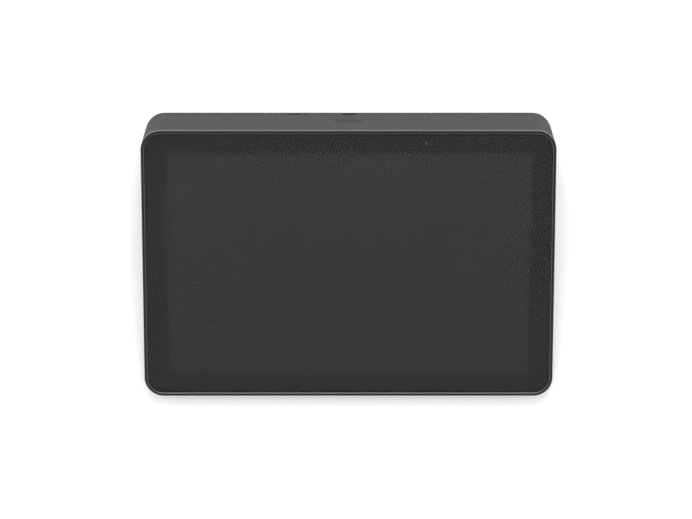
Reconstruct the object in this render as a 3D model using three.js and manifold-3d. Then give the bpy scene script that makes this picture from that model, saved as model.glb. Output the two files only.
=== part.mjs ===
// A tabletop touch display on a wedge-shaped housing, in millimetres.
// +X is the user's right, +Y points to the tall rear wall and +Z is up. The origin is the centre of
// the footprint, on the table. The walls stand square to the sloping face and are cut off level at
// the bottom, so the rear wall leans out and the front wall leans in.
import * as THREE from "three";
import { mergeVertices } from "three/addons/utils/BufferGeometryUtils.js";
import Module from "manifold-3d";

const wasm = await Module();
wasm.setup();

// Face and wedge
const FACE_WIDTH = 246;
const FACE_LENGTH = 163.8; // measured up the slope
const FACE_CORNER = 11.5;
const TILT_DEGREES = 15;
const FRONT_HEIGHT = 7.65; // front edge of the face above the table
const FOOT_STAND = 0.8; // the feet hold the base plate this far off the table
const GAP = 0.3; // between two pieces that touch
const FILM_GAP = 0.2; // between two thin layers of the display
const SLIP = 0.3; // running clearance of a piece that slides

// Rim, glass and display, as thicknesses square to the face and widths across it
const RIM_WIDTH = 2;
const RIM_DEPTH = 3;
const RIM_ROUND = 0.6;
const LEDGE_REACH = 6; // outer face of the rim to the inner edge of the ledge under the glass
const GLASS_SINK = 0.25;
const GLASS_THICKNESS = 1.1;
const GLASS_GAP = 0.25;
const TAPE_THICKNESS = 0.3;
const BEZEL_SIDE = 14.5; // outer face of the rim to the lit area
const BEZEL_END = 13.95;
const CELL_BORDER = 6; // lit area to the edge of the display cell
const CELL_BORDER_TOP = 2.5;
const CELL_BORDER_BOTTOM = 6.4;
const CELL_THICKNESS = 1.2;
const BACKLIGHT_INSET = 0.6;
const BACKLIGHT_THICKNESS = 1.6;
const FOAM_WIDTH = 4;
const FOAM_THICKNESS = 0.7;
const FOAM_INSET = 1;
const CHASSIS_THICKNESS = 1;
const CHASSIS_MARGIN = 11; // outer face of the rim to the side of the chassis
const CHASSIS_FRONT_MARGIN = 23.75;
const CHASSIS_REAR_MARGIN = 5.75;

// Housing walls
const TEXTILE_THICKNESS = 0.8;
const SHELL_WALL = 2;
const SHELL_LEDGE = 1.3;
const BASE_THICKNESS = 2.2;

// Cable bay under the rear half, closed by a cover that slides out to the rear
const BAY_WIDTH = 90;
const BAY_LENGTH = 59;
const BAY_HEIGHT = 17;
const BAY_WALL = 1.6;
const BAY_TO_REAR = 19; // rear edge of the base to the bay
const FLANGE_THICKNESS = 1.2;
const COVER_OVERLAP = 5; // cover past the bay on each side
const COVER_OVERLAP_FRONT = 3;
const RAIL_LIP = 0.8;
const RAIL_REACH = 1.5;
const CHANNEL_WIDTH = 14;
const CHANNEL_HEIGHT = 8;
const OUTLET_WIDTH = 8.5;
const OUTLET_HEIGHT = 7.2; // above the table
const GRIP_WIDTH = 24;
const GRIP_LENGTH = 9;
const GRIP_DEPTH = 0.7;
const GRIP_FROM_REAR = 26;

// Cable clamp
const CLAMP_WIDTH = 34;
const CLAMP_LENGTH = 8;
const CLAMP_THICKNESS = 4.3;
const CLAMP_BOTTOM = 5.4; // above the table
const CLAMP_FROM_BAY_REAR = 3;
const CABLE_RADIUS = 1.7;
const CABLE_PITCH = 9;

// Feet
const FOOT_LENGTH = 30;
const FOOT_WIDTH = 9;
const FOOT_RECESS = 0.9;
const FOOT_FROM_SIDE = 28;
const FOOT_FROM_FRONT = 13;
const FOOT_FROM_REAR = 15;

// Housing screws, from below into the shell
const SCREW_FROM_SIDE = 9;
const SCREW_FROM_FRONT = 15;
const SCREW_FROM_REAR = 14;
const SCREW_HEAD_RADIUS = 2.7;
const SCREW_HEAD_HEIGHT = 1;
const SCREW_SHANK_RADIUS = 1.2;
const BOSS_RADIUS = 3.2;
const BOSS_RIB = 2;
const BOSS_HEIGHT = 15; // where the display leaves room

// Chassis screws, from above into tabs of the shell
const TAB_DEPTH = 2.6;
const TAB_WIDTH = 12;
const TAB_FROM_MIDDLE = 45;
const SMALL_HEAD_RADIUS = 1.9;
const SMALL_HEAD_HEIGHT = 0.8;
const SMALL_SHANK_RADIUS = 0.9;
const SMALL_STEPS = 12;
const TAB_EDGE = 0.6; // from a chassis screw's head to the side of the chassis
const TAB_REACH = 1.5; // of the tab past that head
const TIP_ROOM = 0.4; // under the tip of a chassis screw
const PAST = 1; // a tool runs on this far past what it cuts

// Main circuit board and what stands on it
const BOARD_WIDTH = 140;
const BOARD_LENGTH = 54;
const BOARD_THICKNESS = 1.6;
const BOARD_STANDOFF = 1.4;
const BOARD_TO_BAY = 0.6;
const STANDOFF_RADIUS = 2.6;
const STANDOFF_INSET = 5;
const SOCKET_PROUD = 0.5; // of the bay's front wall
const SHIELD = { left: 10, width: 42, fromFront: 12, length: 30, height: 2.4 };
const POWER = { left: -62, width: 26, fromFront: 14, length: 22, height: 5 };
const WIRELESS = { left: -28, width: 22, fromFront: 13, length: 16, height: 2.2 };
const DISPLAY_PLUG = { left: 18, width: 32, fromFront: 2, length: 6, height: 1.6 };
const SINK = { left: 12, width: 38, fromFront: 16, length: 24, base: 1, fin: 2, fins: 8, finWidth: 1 };
const NETWORK = {
  x: -22, width: 16, height: 11, length: 18.5, floor: 2, plugWidth: 11.9, plugHeight: 7, plugDepth: 13,
  latchWidth: 6, latchHeight: 1.2,
};
const USB = { x: 8, width: 9, height: 3.3, length: 7.5, wall: 0.35, back: 1, tongue: 6.6, tongueFront: 1.5 };

// Ribbons between the display and the main board
const RIBBON_THICKNESS = 0.3;
const RIBBON_FROM_FRONT = 18;
const RIBBON_DROP = 3;
const RIBBON_RISE = 5;
const RIBBON_STEP = 1.6;
const RIBBON_LAND = 1.4; // of the ribbon on the board
const RIBBON_CLEAR = 0.8;

// Rear wall details, with heights above the table
const BADGE_WIDTH = 16;
const BADGE_HEIGHT = 7;
const BADGE_CENTRE = 22.5;
const BADGE_PROUD = 0.1;
const LOCK_X = -33;
const LOCK_WIDTH = 7;
const LOCK_HEIGHT = 3;
const LOCK_CENTRE = 5.4;
const LOCK_PLATE_THICKNESS = 1.5;
const LOCK_PLATE_LEFT = 6; // past the slot's middle
const LOCK_PLATE_RIGHT = 5;
const LOCK_PLATE_RISE = 9;
const RESET_X = -25.5;
const RESET_RADIUS = 1.1;
const RESET_COLLAR = 1.8;
const RESET_TRAVEL = 0.6;
const RESET_SINK = 0.5;
const RESET_COLLAR_LENGTH = 1.2;
const RESET_NOSE = 2.4;
const RESET_SWITCH_LENGTH = 3;
const RESET_SWITCH_WIDTH = 4;
const RESET_SWITCH_HEIGHT = 3.2;
const RESET_BOARD_WIDTH = 10;
const RESET_BOARD_RISE = 6;
const THIN_BOARD = 0.8;

// Light sensor behind the top of the glass
const SENSOR_X = 46.2;
const SENSOR_FROM_TOP = 7.9;
const SENSOR_RADIUS = 1.2;
const SENSOR_HEIGHT = 1.3;
const SENSOR_BOARD_WIDTH = 18;
const SENSOR_BOARD_FRONT = 2.2;
const SENSOR_BOARD_REAR = 1.4;
const SENSOR_FOAM_WIDTH = 14;
const SENSOR_FOAM_INSET = 0.4;

// Loudspeakers behind the rear wall
const SPEAKER_WIDTH = 54;
const SPEAKER_THICKNESS = 9.5;
const SPEAKER_HEIGHT = 24;
const SPEAKER_FROM_TOP = 12;
const SPEAKER_FROM_SIDE = 17;
const GRILLE_SLOTS = 5;
const GRILLE_SLOT_HEIGHT = 2;
const GRILLE_EDGE = 4;
const CONE_RADIUS = 8;
const CONE_DEPTH = 2;

// Antennas on the side walls, as places up the slope and depths below the face
const ANTENNA_FRONT = 14;
const ANTENNA_REAR = 44;
const ANTENNA_TOP = -14;
const ANTENNA_BOTTOM = -22;

const CORNER_STEPS = 4; // an eighth of a corner arc is one flat
const ROUND_STEPS = 16;

// The wedge worked out from its driving sizes
const tilt = THREE.MathUtils.degToRad(TILT_DEGREES);
const rearHeight = FRONT_HEIGHT + FACE_LENGTH * Math.sin(tilt);
const faceDepth = FACE_LENGTH * Math.cos(tilt);
const depth = faceDepth + (rearHeight - FOOT_STAND) * Math.tan(tilt);
const rearEdge = depth / 2;
const frontEdge = -depth / 2;
const faceCentre = new THREE.Vector3(
  0,
  frontEdge + faceDepth / 2,
  (FRONT_HEIGHT + rearHeight) / 2,
);
const slope = new THREE.Matrix4().makeRotationX(tilt).setPosition(faceCentre);
const halfWidth = FACE_WIDTH / 2;
const halfLength = FACE_LENGTH / 2;
const deep = -1.5 * rearHeight; // past the table, for walls that are cut off level

// Depths below the face, square to it
const glassTop = -GLASS_SINK;
const glassBottom = glassTop - GLASS_THICKNESS;
const glassTapeTop = glassBottom - FILM_GAP;
const ledgeTop = glassTapeTop - TAPE_THICKNESS - FILM_GAP;
const rimTapeTop = -RIM_DEPTH - FILM_GAP;
const shellTop = rimTapeTop - TAPE_THICKNESS - FILM_GAP;
const cellTop = glassBottom - GAP;
const backlightTop = cellTop - CELL_THICKNESS - GAP;
const backlightBottom = backlightTop - BACKLIGHT_THICKNESS;
const foamTop = backlightBottom - FILM_GAP;
const chassisTop = foamTop - FOAM_THICKNESS - GAP;
const chassisBottom = chassisTop - CHASSIS_THICKNESS;
const tabTop = chassisBottom - GAP;

// Walls, as distances in from the outer face
const shellOut = TEXTILE_THICKNESS + GAP;
const shellIn = shellOut + SHELL_WALL;
const rearInner = halfLength - shellIn;
const sideInner = halfWidth - shellIn;

// Levels above the table
const baseBottom = FOOT_STAND;
const baseTop = baseBottom + BASE_THICKNESS;
const coverTop = baseTop - SLIP;
const bayTop = baseTop + BAY_HEIGHT;
const boardBottom = baseTop + BOARD_STANDOFF + GAP;
const boardTop = boardBottom + BOARD_THICKNESS;
const partsBottom = boardTop + GAP;

// Places along Y of the bay and the board
const bayRear = rearEdge - BAY_TO_REAR;
const bayFront = bayRear - BAY_LENGTH;
const coverFront = bayFront - COVER_OVERLAP_FRONT;
const coverHalf = BAY_WIDTH / 2 + COVER_OVERLAP;
const railHalf = coverHalf + RAIL_REACH;
const flangeHalf = railHalf + SLIP + BAY_WALL;
const boardRear = bayFront - BAY_WALL - BOARD_TO_BAY;
const boardFront = boardRear - BOARD_LENGTH;

// Shapes and solids

function roundedRect(width, length, radius, centreX = 0, centreY = 0) {
  const right = centreX + width / 2 - radius;
  const left = centreX - width / 2 + radius;
  const top = centreY + length / 2 - radius;
  const bottom = centreY - length / 2 + radius;
  const shape = new THREE.Shape();
  shape.absarc(right, top, radius, 0, Math.PI / 2);
  shape.absarc(left, top, radius, Math.PI / 2, Math.PI);
  shape.absarc(left, bottom, radius, Math.PI, 1.5 * Math.PI);
  shape.absarc(right, bottom, radius, 1.5 * Math.PI, 2 * Math.PI);
  shape.closePath();
  return shape;
}

// The face's outline, drawn in from the outer face by inset
function faceOutline(inset) {
  return roundedRect(FACE_WIDTH - 2 * inset, FACE_LENGTH - 2 * inset, FACE_CORNER - inset);
}

function extrude(shape, bottom, top, curveSegments = CORNER_STEPS) {
  const geometry = new THREE.ExtrudeGeometry(shape, {
    depth: top - bottom,
    bevelEnabled: false,
    curveSegments,
  });
  return geometry.translate(0, 0, bottom);
}

function ring(outerInset, innerInset, bottom, top) {
  const shape = faceOutline(outerInset);
  shape.holes.push(faceOutline(innerInset));
  return extrude(shape, bottom, top);
}

function block(x0, x1, y0, y1, z0, z1) {
  const geometry = new THREE.BoxGeometry(x1 - x0, y1 - y0, z1 - z0);
  return geometry.translate((x0 + x1) / 2, (y0 + y1) / 2, (z0 + z1) / 2);
}

// An upright round bar from bottom to top
function rod(radius, x, y, bottom, top, steps = ROUND_STEPS) {
  const geometry = new THREE.CylinderGeometry(radius, radius, top - bottom, steps);
  return geometry.rotateX(Math.PI / 2).translate(x, y, (bottom + top) / 2);
}

// A round bar along Y
function bar(radius, x, z, front, rear, steps = ROUND_STEPS) {
  const geometry = new THREE.CylinderGeometry(radius, radius, rear - front, steps);
  return geometry.translate(x, (front + rear) / 2, z);
}

function onSlope(geometry) {
  return geometry.applyMatrix4(slope);
}

function solid(geometry) {
  const bare = geometry.clone();
  bare.deleteAttribute("normal");
  bare.deleteAttribute("uv");
  const merged = mergeVertices(bare, 1e-4);
  return new wasm.Manifold(
    new wasm.Mesh({
      numProp: 3,
      vertProperties: new Float32Array(merged.attributes.position.array),
      triVerts: new Uint32Array(merged.index.array),
    }),
  );
}

function join(...geometries) {
  return geometries.map(solid).reduce((whole, next) => whole.add(next));
}

function cut(whole, ...geometries) {
  return geometries.map(solid).reduce((left, tool) => left.subtract(tool), whole);
}

function geometryOf(manifold) {
  const mesh = manifold.getMesh();
  const geometry = new THREE.BufferGeometry();
  geometry.setAttribute("position", new THREE.BufferAttribute(mesh.vertProperties, 3));
  geometry.setIndex(new THREE.BufferAttribute(mesh.triVerts, 1));
  geometry.computeVertexNormals();
  return geometry;
}

// Everything from the table's far side up to a level
function below(level) {
  return block(-FACE_WIDTH, FACE_WIDTH, -depth, depth, -2 * rearHeight, level);
}

// The height above the table of a plane that lies under the face, at y
function heightOf(planeDepth, y) {
  const up = (y - faceCentre.y + planeDepth * Math.sin(tilt)) / Math.cos(tilt);
  return faceCentre.z + up * Math.sin(tilt) + planeDepth * Math.cos(tilt);
}

// The depth below the face at which the rear wall's outer side is at a height above the table
function rearDepthAt(height) {
  return (height - rearHeight) / Math.cos(tilt);
}

// A tool through the rear wall, square to it, centred at x and at a height on its outer side
function rearCutter(shape, height) {
  const reach = 2 * shellIn;
  const geometry = extrude(shape, -reach, reach).rotateX(-Math.PI / 2);
  return onSlope(geometry.translate(0, halfLength, rearDepthAt(height)));
}

// A pan-head screw whose head sits on z = 0 with its shank below
function screw(headRadius, headHeight, shankRadius, shankLength) {
  const profile = [
    new THREE.Vector2(0, -shankLength),
    new THREE.Vector2(shankRadius, -shankLength),
    new THREE.Vector2(shankRadius, 0),
    new THREE.Vector2(headRadius, 0),
    new THREE.Vector2(headRadius, headHeight),
    new THREE.Vector2(0, headHeight),
  ];
  return new THREE.LatheGeometry(profile, SMALL_STEPS).rotateX(Math.PI / 2);
}

// Materials and the scene graph

function finish(color, roughness, metalness = 0) {
  return new THREE.MeshStandardMaterial({ color, roughness, metalness });
}

const finishes = {
  glass: finish(0x1c1c1d, 0.12),
  rim: finish(0x3b3b3c, 0.45),
  textile: finish(0x4a4a4b, 0.95),
  shell: finish(0x303031, 0.6),
  base: finish(0x2b2b2c, 0.55),
  rubber: finish(0x1d1d1d, 0.9),
  tape: finish(0x151515, 0.8),
  cell: finish(0x2c2d2f, 0.3),
  sheetMetal: finish(0x9a9c9e, 0.4, 1),
  steel: finish(0x8c8c8a, 0.35, 1),
  screw: finish(0x3f3f40, 0.4, 1),
  board: finish(0x1f4a33, 0.5),
  component: finish(0x202022, 0.5),
  flex: finish(0x8a5a22, 0.45),
  foam: finish(0x262626, 0.95),
  badge: finish(0x1f1f20, 0.4),
};

const device = new THREE.Group();
const display = new THREE.Group(); // pieces that lie along the sloping face
display.rotation.x = tilt;
display.position.copy(faceCentre);
const housing = new THREE.Group();
const electronics = new THREE.Group();
device.add(display, housing, electronics);

function addPiece(parent, name, shape, material) {
  const geometry = shape instanceof wasm.Manifold ? geometryOf(shape) : shape;
  const mesh = new THREE.Mesh(geometry, material);
  mesh.name = name;
  parent.add(mesh);
  return mesh;
}

// Front rim: one moulding with a rounded outer edge, and a ledge that carries the glass

function frontRim() {
  const crown = new THREE.ExtrudeGeometry(faceOutline(0), {
    depth: 2 * RIM_DEPTH,
    bevelThickness: RIM_ROUND,
    bevelSize: RIM_ROUND,
    bevelOffset: -RIM_ROUND,
    bevelSegments: 3,
    curveSegments: CORNER_STEPS,
  });
  crown.translate(0, 0, -2 * RIM_DEPTH - RIM_ROUND);
  const pocket = extrude(faceOutline(RIM_WIDTH), ledgeTop, RIM_DEPTH);
  const window = extrude(faceOutline(LEDGE_REACH), -3 * RIM_DEPTH, RIM_DEPTH);
  const under = block(
    -FACE_WIDTH, FACE_WIDTH, -FACE_LENGTH, FACE_LENGTH, -4 * RIM_DEPTH, -RIM_DEPTH,
  );
  return cut(solid(crown), pocket, window, under);
}

addPiece(display, "front_rim", frontRim(), finishes.rim);
const glassInset = RIM_WIDTH + GLASS_GAP;
const glass = extrude(faceOutline(glassInset), glassBottom, glassTop);
addPiece(display, "cover_glass", glass, finishes.glass);
const glassTape = ring(
  glassInset + FILM_GAP,
  LEDGE_REACH - FILM_GAP,
  glassTapeTop - TAPE_THICKNESS,
  glassTapeTop,
);
addPiece(display, "glass_tape", glassTape, finishes.tape);
const rimTape = ring(
  shellOut + FILM_GAP,
  LEDGE_REACH - FILM_GAP,
  rimTapeTop - TAPE_THICKNESS,
  rimTapeTop,
);
addPiece(display, "rim_tape", rimTape, finishes.tape);

// Display: liquid-crystal cell, backlight tray, foam frame and the chassis that backs them

const litWidth = FACE_WIDTH - 2 * BEZEL_SIDE;
const litLength = FACE_LENGTH - 2 * BEZEL_END;
const cellHalf = litWidth / 2 + CELL_BORDER;
const cellRear = litLength / 2 + CELL_BORDER_TOP;
const cellFront = -litLength / 2 - CELL_BORDER_BOTTOM;

const cell = block(-cellHalf, cellHalf, cellFront, cellRear, cellTop - CELL_THICKNESS, cellTop);
addPiece(display, "display_cell", cell, finishes.cell);

const trayHalf = cellHalf - BACKLIGHT_INSET;
const backlight = block(
  -trayHalf,
  trayHalf,
  cellFront + BACKLIGHT_INSET,
  cellRear - BACKLIGHT_INSET,
  backlightBottom,
  backlightTop,
);
addPiece(display, "backlight_tray", backlight, finishes.sheetMetal);

const chassisHalf = halfWidth - CHASSIS_MARGIN;
const chassisFront = -halfLength + CHASSIS_FRONT_MARGIN;
const chassisRear = halfLength - CHASSIS_REAR_MARGIN;

function foamFrame() {
  const half = chassisHalf - 2 * SMALL_HEAD_RADIUS - FOAM_INSET;
  const front = chassisFront + FOAM_INSET;
  const rear = cellRear - BACKLIGHT_INSET - FOAM_INSET;
  const inner = FOAM_WIDTH;
  const bottom = foamTop - FOAM_THICKNESS;
  const outside = block(-half, half, front, rear, bottom, foamTop);
  const inside = block(
    -half + inner, half - inner, front + inner, rear - inner, bottom - PAST, foamTop + PAST,
  );
  return cut(solid(outside), inside);
}

addPiece(display, "display_foam", foamFrame(), finishes.foam);

const tabScrewX = chassisHalf - SMALL_HEAD_RADIUS - TAB_EDGE;
const tabPlaces = [
  ["front_left", -tabScrewX, -TAB_FROM_MIDDLE],
  ["front_right", tabScrewX, -TAB_FROM_MIDDLE],
  ["rear_left", -tabScrewX, TAB_FROM_MIDDLE],
  ["rear_right", tabScrewX, TAB_FROM_MIDDLE],
];
const smallHole = SMALL_SHANK_RADIUS + GAP;

function chassis() {
  const plate = block(
    -chassisHalf, chassisHalf, chassisFront, chassisRear, chassisBottom, chassisTop,
  );
  const holes = tabPlaces.map(([, x, y]) => {
    return rod(smallHole, x, y, chassisBottom - PAST, chassisTop + PAST, SMALL_STEPS);
  });
  return cut(solid(plate), ...holes);
}

addPiece(display, "display_chassis", chassis(), finishes.sheetMetal);
const tabScrewLength = GAP + CHASSIS_THICKNESS + TAB_DEPTH - TIP_ROOM;
for (const [place, x, y] of tabPlaces) {
  const geometry = screw(
    SMALL_HEAD_RADIUS, SMALL_HEAD_HEIGHT, SMALL_SHANK_RADIUS, tabScrewLength + GAP,
  );
  const mesh = addPiece(display, `chassis_screw_${place}`, geometry, finishes.screw);
  mesh.position.set(x, y, chassisTop + GAP);
}

// Light sensor: a small lens under the glass, on its own board, held up by foam

const sensorY = halfLength - SENSOR_FROM_TOP;
const sensorTop = glassBottom - FILM_GAP;
const sensorBoardTop = sensorTop - SENSOR_HEIGHT - FILM_GAP;
const sensorBoardBottom = sensorBoardTop - THIN_BOARD;
const lens = rod(SENSOR_RADIUS, SENSOR_X, sensorY, sensorTop - SENSOR_HEIGHT, sensorTop);
addPiece(display, "light_sensor", lens, finishes.component);
const sensorBoard = block(
  SENSOR_X - SENSOR_BOARD_WIDTH / 2,
  SENSOR_X + SENSOR_BOARD_WIDTH / 2,
  sensorY - SENSOR_BOARD_FRONT,
  sensorY + SENSOR_BOARD_REAR,
  sensorBoardBottom,
  sensorBoardTop,
);
addPiece(display, "sensor_board", sensorBoard, finishes.board);
const sensorFoam = block(
  SENSOR_X - SENSOR_FOAM_WIDTH / 2,
  SENSOR_X + SENSOR_FOAM_WIDTH / 2,
  sensorY - SENSOR_BOARD_FRONT + SENSOR_FOAM_INSET,
  sensorY + SENSOR_BOARD_REAR - SENSOR_FOAM_INSET,
  chassisTop + FILM_GAP,
  sensorBoardBottom - FILM_GAP,
);
addPiece(display, "sensor_foam", sensorFoam, finishes.foam);

// Cuts that the textile and the shell share in the rear wall

function lockCutter(clearance) {
  const shape = roundedRect(
    LOCK_WIDTH + 2 * clearance, LOCK_HEIGHT + 2 * clearance, LOCK_HEIGHT / 2, LOCK_X,
  );
  return rearCutter(shape, LOCK_CENTRE);
}

function resetCutter() {
  return bar(RESET_RADIUS + GAP, RESET_X, LOCK_CENTRE, rearEdge - 3 * shellIn, rearEdge + PAST);
}

function outletCutter() {
  const half = OUTLET_WIDTH / 2;
  return block(-half, half, bayRear, rearEdge + PAST, -PAST, OUTLET_HEIGHT);
}

// Textile: a knitted band stretched round the walls, between the rim and the base plate

function textileWrap() {
  const band = onSlope(ring(0, TEXTILE_THICKNESS, deep, -RIM_DEPTH - GAP));
  const badgeWindow = roundedRect(
    BADGE_WIDTH + 2 * GAP, BADGE_HEIGHT + 2 * GAP, BADGE_HEIGHT / 2 + GAP,
  );
  return cut(
    solid(band),
    below(baseTop + GAP),
    rearCutter(badgeWindow, BADGE_CENTRE),
    lockCutter(GAP),
    resetCutter(),
    outletCutter(),
  );
}

addPiece(housing, "textile_wrap", textileWrap(), finishes.textile);

const badge = extrude(
  roundedRect(BADGE_WIDTH, BADGE_HEIGHT, BADGE_HEIGHT / 2),
  -TEXTILE_THICKNESS,
  BADGE_PROUD,
).rotateX(-Math.PI / 2);
const badgePiece = addPiece(display, "badge_plate", badge, finishes.badge);
badgePiece.position.set(0, halfLength, rearDepthAt(BADGE_CENTRE));

// Housing screws, and the bosses that take them

const housingScrews = [
  ["front_left", -1, frontEdge + SCREW_FROM_FRONT],
  ["front_right", 1, frontEdge + SCREW_FROM_FRONT],
  ["middle_left", -1, 0],
  ["middle_right", 1, 0],
  ["rear_left", -1, rearEdge - SCREW_FROM_REAR],
  ["rear_right", 1, rearEdge - SCREW_FROM_REAR],
].map(([place, side, y]) => {
  const x = side * (halfWidth - SCREW_FROM_SIDE);
  const ceiling = heightOf(backlightBottom, y - BOSS_RADIUS) - 2 * GAP;
  const top = Math.min(baseTop + GAP + BOSS_HEIGHT, ceiling);
  return { place, side, x, y, top };
});
const headRecess = SCREW_HEAD_HEIGHT + GAP;
const headSeat = baseBottom + headRecess;

// Shell: the moulded wall under the textile, with a ledge for the rim, bosses and tabs

function housingShell() {
  let shell = join(
    onSlope(ring(shellOut, shellIn, deep, shellTop)),
    onSlope(ring(shellOut, LEDGE_REACH, shellTop - SHELL_LEDGE, shellTop)),
  );
  for (const { side, x, y, top } of housingScrews) {
    const wall = side * (sideInner + SHELL_WALL / 2);
    shell = shell.add(solid(rod(BOSS_RADIUS, x, y, 0, top)));
    const rib = block(
      Math.min(x, wall), Math.max(x, wall), y - BOSS_RIB / 2, y + BOSS_RIB / 2, 0, top,
    );
    shell = shell.add(solid(rib));
  }
  for (const [, x, y] of tabPlaces) {
    const inner = x - Math.sign(x) * (SMALL_HEAD_RADIUS + TAB_REACH);
    const wall = Math.sign(x) * (sideInner + SHELL_WALL / 2);
    const tab = block(
      Math.min(inner, wall),
      Math.max(inner, wall),
      y - TAB_WIDTH / 2,
      y + TAB_WIDTH / 2,
      tabTop - TAB_DEPTH,
      tabTop,
    );
    shell = shell.add(solid(onSlope(tab)));
  }
  for (const { x, y, top } of housingScrews) {
    shell = cut(shell, rod(SCREW_SHANK_RADIUS + GAP, x, y, -PAST, top - PAST));
  }
  for (const [, x, y] of tabPlaces) {
    const hole = rod(smallHole, x, y, tabTop - TAB_DEPTH - PAST, tabTop + PAST, SMALL_STEPS);
    shell = cut(shell, onSlope(hole));
  }
  return cut(
    shell,
    below(baseTop + GAP),
    lockCutter(0),
    resetCutter(),
    outletCutter(),
    ...grilleCutters(),
  );
}

const speakerX = halfWidth - SPEAKER_FROM_SIDE - SPEAKER_WIDTH / 2;

function grilleCutters() {
  const cutters = [];
  const pitch = SPEAKER_HEIGHT / (GRILLE_SLOTS + 1);
  for (const side of [-1, 1]) {
    for (let slot = 1; slot <= GRILLE_SLOTS; slot += 1) {
      const middle = -SPEAKER_FROM_TOP - slot * pitch;
      const geometry = block(
        side * speakerX - SPEAKER_WIDTH / 2 + GRILLE_EDGE,
        side * speakerX + SPEAKER_WIDTH / 2 - GRILLE_EDGE,
        rearInner - PAST,
        halfLength - shellOut + PAST,
        middle - GRILLE_SLOT_HEIGHT / 2,
        middle + GRILLE_SLOT_HEIGHT / 2,
      );
      cutters.push(onSlope(geometry));
    }
  }
  return cutters;
}

addPiece(housing, "housing_shell", housingShell(), finishes.shell);

// Base plate: closes the bottom and carries the cable bay, its rails and the board's standoffs

const saddleRear = bayRear - CLAMP_FROM_BAY_REAR;
const saddleFront = saddleRear - CLAMP_LENGTH;
const saddleBottom = CLAMP_BOTTOM + CLAMP_THICKNESS + GAP;
const clampScrewX = CLAMP_WIDTH / 2 - SMALL_HEAD_RADIUS - 1.4;
const cableXs = [-CABLE_PITCH / 2, CABLE_PITCH / 2];
const feet = [
  ["front_left", -1, frontEdge + FOOT_FROM_FRONT],
  ["front_right", 1, frontEdge + FOOT_FROM_FRONT],
  ["rear_left", -1, rearEdge - FOOT_FROM_REAR],
  ["rear_right", 1, rearEdge - FOOT_FROM_REAR],
].map(([place, side, y]) => ({ place, x: side * (halfWidth - FOOT_FROM_SIDE), y }));
const standoffs = [
  ["front_left", -1, boardFront + STANDOFF_INSET],
  ["front_right", 1, boardFront + STANDOFF_INSET],
  ["rear_left", -1, boardRear - STANDOFF_INSET],
  ["rear_right", 1, boardRear - STANDOFF_INSET],
].map(([place, side, y]) => ({ place, x: side * (BOARD_WIDTH / 2 - STANDOFF_INSET), y }));

function basePlate() {
  const room = solid(onSlope(extrude(faceOutline(shellIn + GAP), deep, 0)));
  const slab = solid(onSlope(extrude(faceOutline(0), deep, 0))).intersect(
    solid(block(-FACE_WIDTH, FACE_WIDTH, -depth, depth, baseBottom, baseTop)),
  );
  const bayHalf = BAY_WIDTH / 2;
  const channelHalf = CHANNEL_WIDTH / 2;
  const sunk = baseTop - BASE_THICKNESS / 2; // roots inside the slab
  let raised = join(
    block(-flangeHalf, flangeHalf, coverFront - BAY_WALL, rearEdge, sunk, baseTop + FLANGE_THICKNESS),
    block(
      -bayHalf - BAY_WALL,
      bayHalf + BAY_WALL,
      bayFront - BAY_WALL,
      bayRear + BAY_WALL,
      sunk,
      bayTop + BAY_WALL,
    ),
    block(
      -channelHalf - BAY_WALL,
      channelHalf + BAY_WALL,
      bayRear,
      rearEdge,
      sunk,
      baseTop + CHANNEL_HEIGHT + BAY_WALL,
    ),
  );
  for (const { x, y } of standoffs) {
    raised = raised.add(solid(rod(STANDOFF_RADIUS, x, y, sunk, boardBottom - GAP)));
  }
  raised = cut(
    raised,
    block(-bayHalf, bayHalf, bayFront, bayRear, 0, bayTop),
    block(-channelHalf, channelHalf, bayRear - BAY_WALL, rearEdge + 1, 0, baseTop + CHANNEL_HEIGHT),
  );
  let base = slab.add(raised.intersect(room));
  base = cut(
    base,
    block(-railHalf - SLIP, railHalf + SLIP, coverFront - SLIP, depth, baseBottom + RAIL_LIP, baseTop),
    block(-coverHalf - SLIP, coverHalf + SLIP, coverFront - SLIP, depth, 0, baseTop),
    block(
      LOCK_X - LOCK_WIDTH - GAP,
      RESET_X + 2 * RESET_COLLAR + 2,
      bayRear + BAY_WALL + 1,
      rearEdge,
      baseTop - 1,
      baseTop + BAY_HEIGHT,
    ),
  );
  for (const { x, width, height } of [NETWORK, USB]) {
    const half = width / 2 + GAP;
    base = cut(
      base,
      block(
        x - half,
        x + half,
        bayFront - BAY_WALL - PAST,
        bayFront + PAST,
        partsBottom - GAP,
        partsBottom + height + GAP,
      ),
    );
  }
  for (const { x, y } of feet) {
    const shape = roundedRect(FOOT_LENGTH + 2 * GAP, FOOT_WIDTH + 2 * GAP, FOOT_WIDTH / 2 + GAP, x, y);
    base = cut(base, extrude(shape, 0, baseBottom + FOOT_RECESS));
  }
  for (const { x, y } of housingScrews) {
    base = cut(
      base,
      rod(SCREW_HEAD_RADIUS + GAP, x, y, 0, headSeat),
      rod(SCREW_SHANK_RADIUS + GAP, x, y, 0, baseTop + PAST),
    );
  }
  for (const { x, y } of standoffs) {
    base = cut(base, rod(smallHole, x, y, baseBottom + 1, boardTop, SMALL_STEPS));
  }
  return base;
}

addPiece(housing, "base_plate", basePlate(), finishes.base);
for (const { place, x, y, top } of housingScrews) {
  const shank = top - headSeat - 2 * PAST;
  const geometry = screw(SCREW_HEAD_RADIUS, SCREW_HEAD_HEIGHT, SCREW_SHANK_RADIUS, shank);
  const mesh = addPiece(housing, `housing_screw_${place}`, geometry, finishes.screw);
  mesh.rotation.x = Math.PI;
  mesh.position.set(x, y, headSeat - GAP);
}

// Feet: rubber pads in shallow recesses of the base plate

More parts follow.
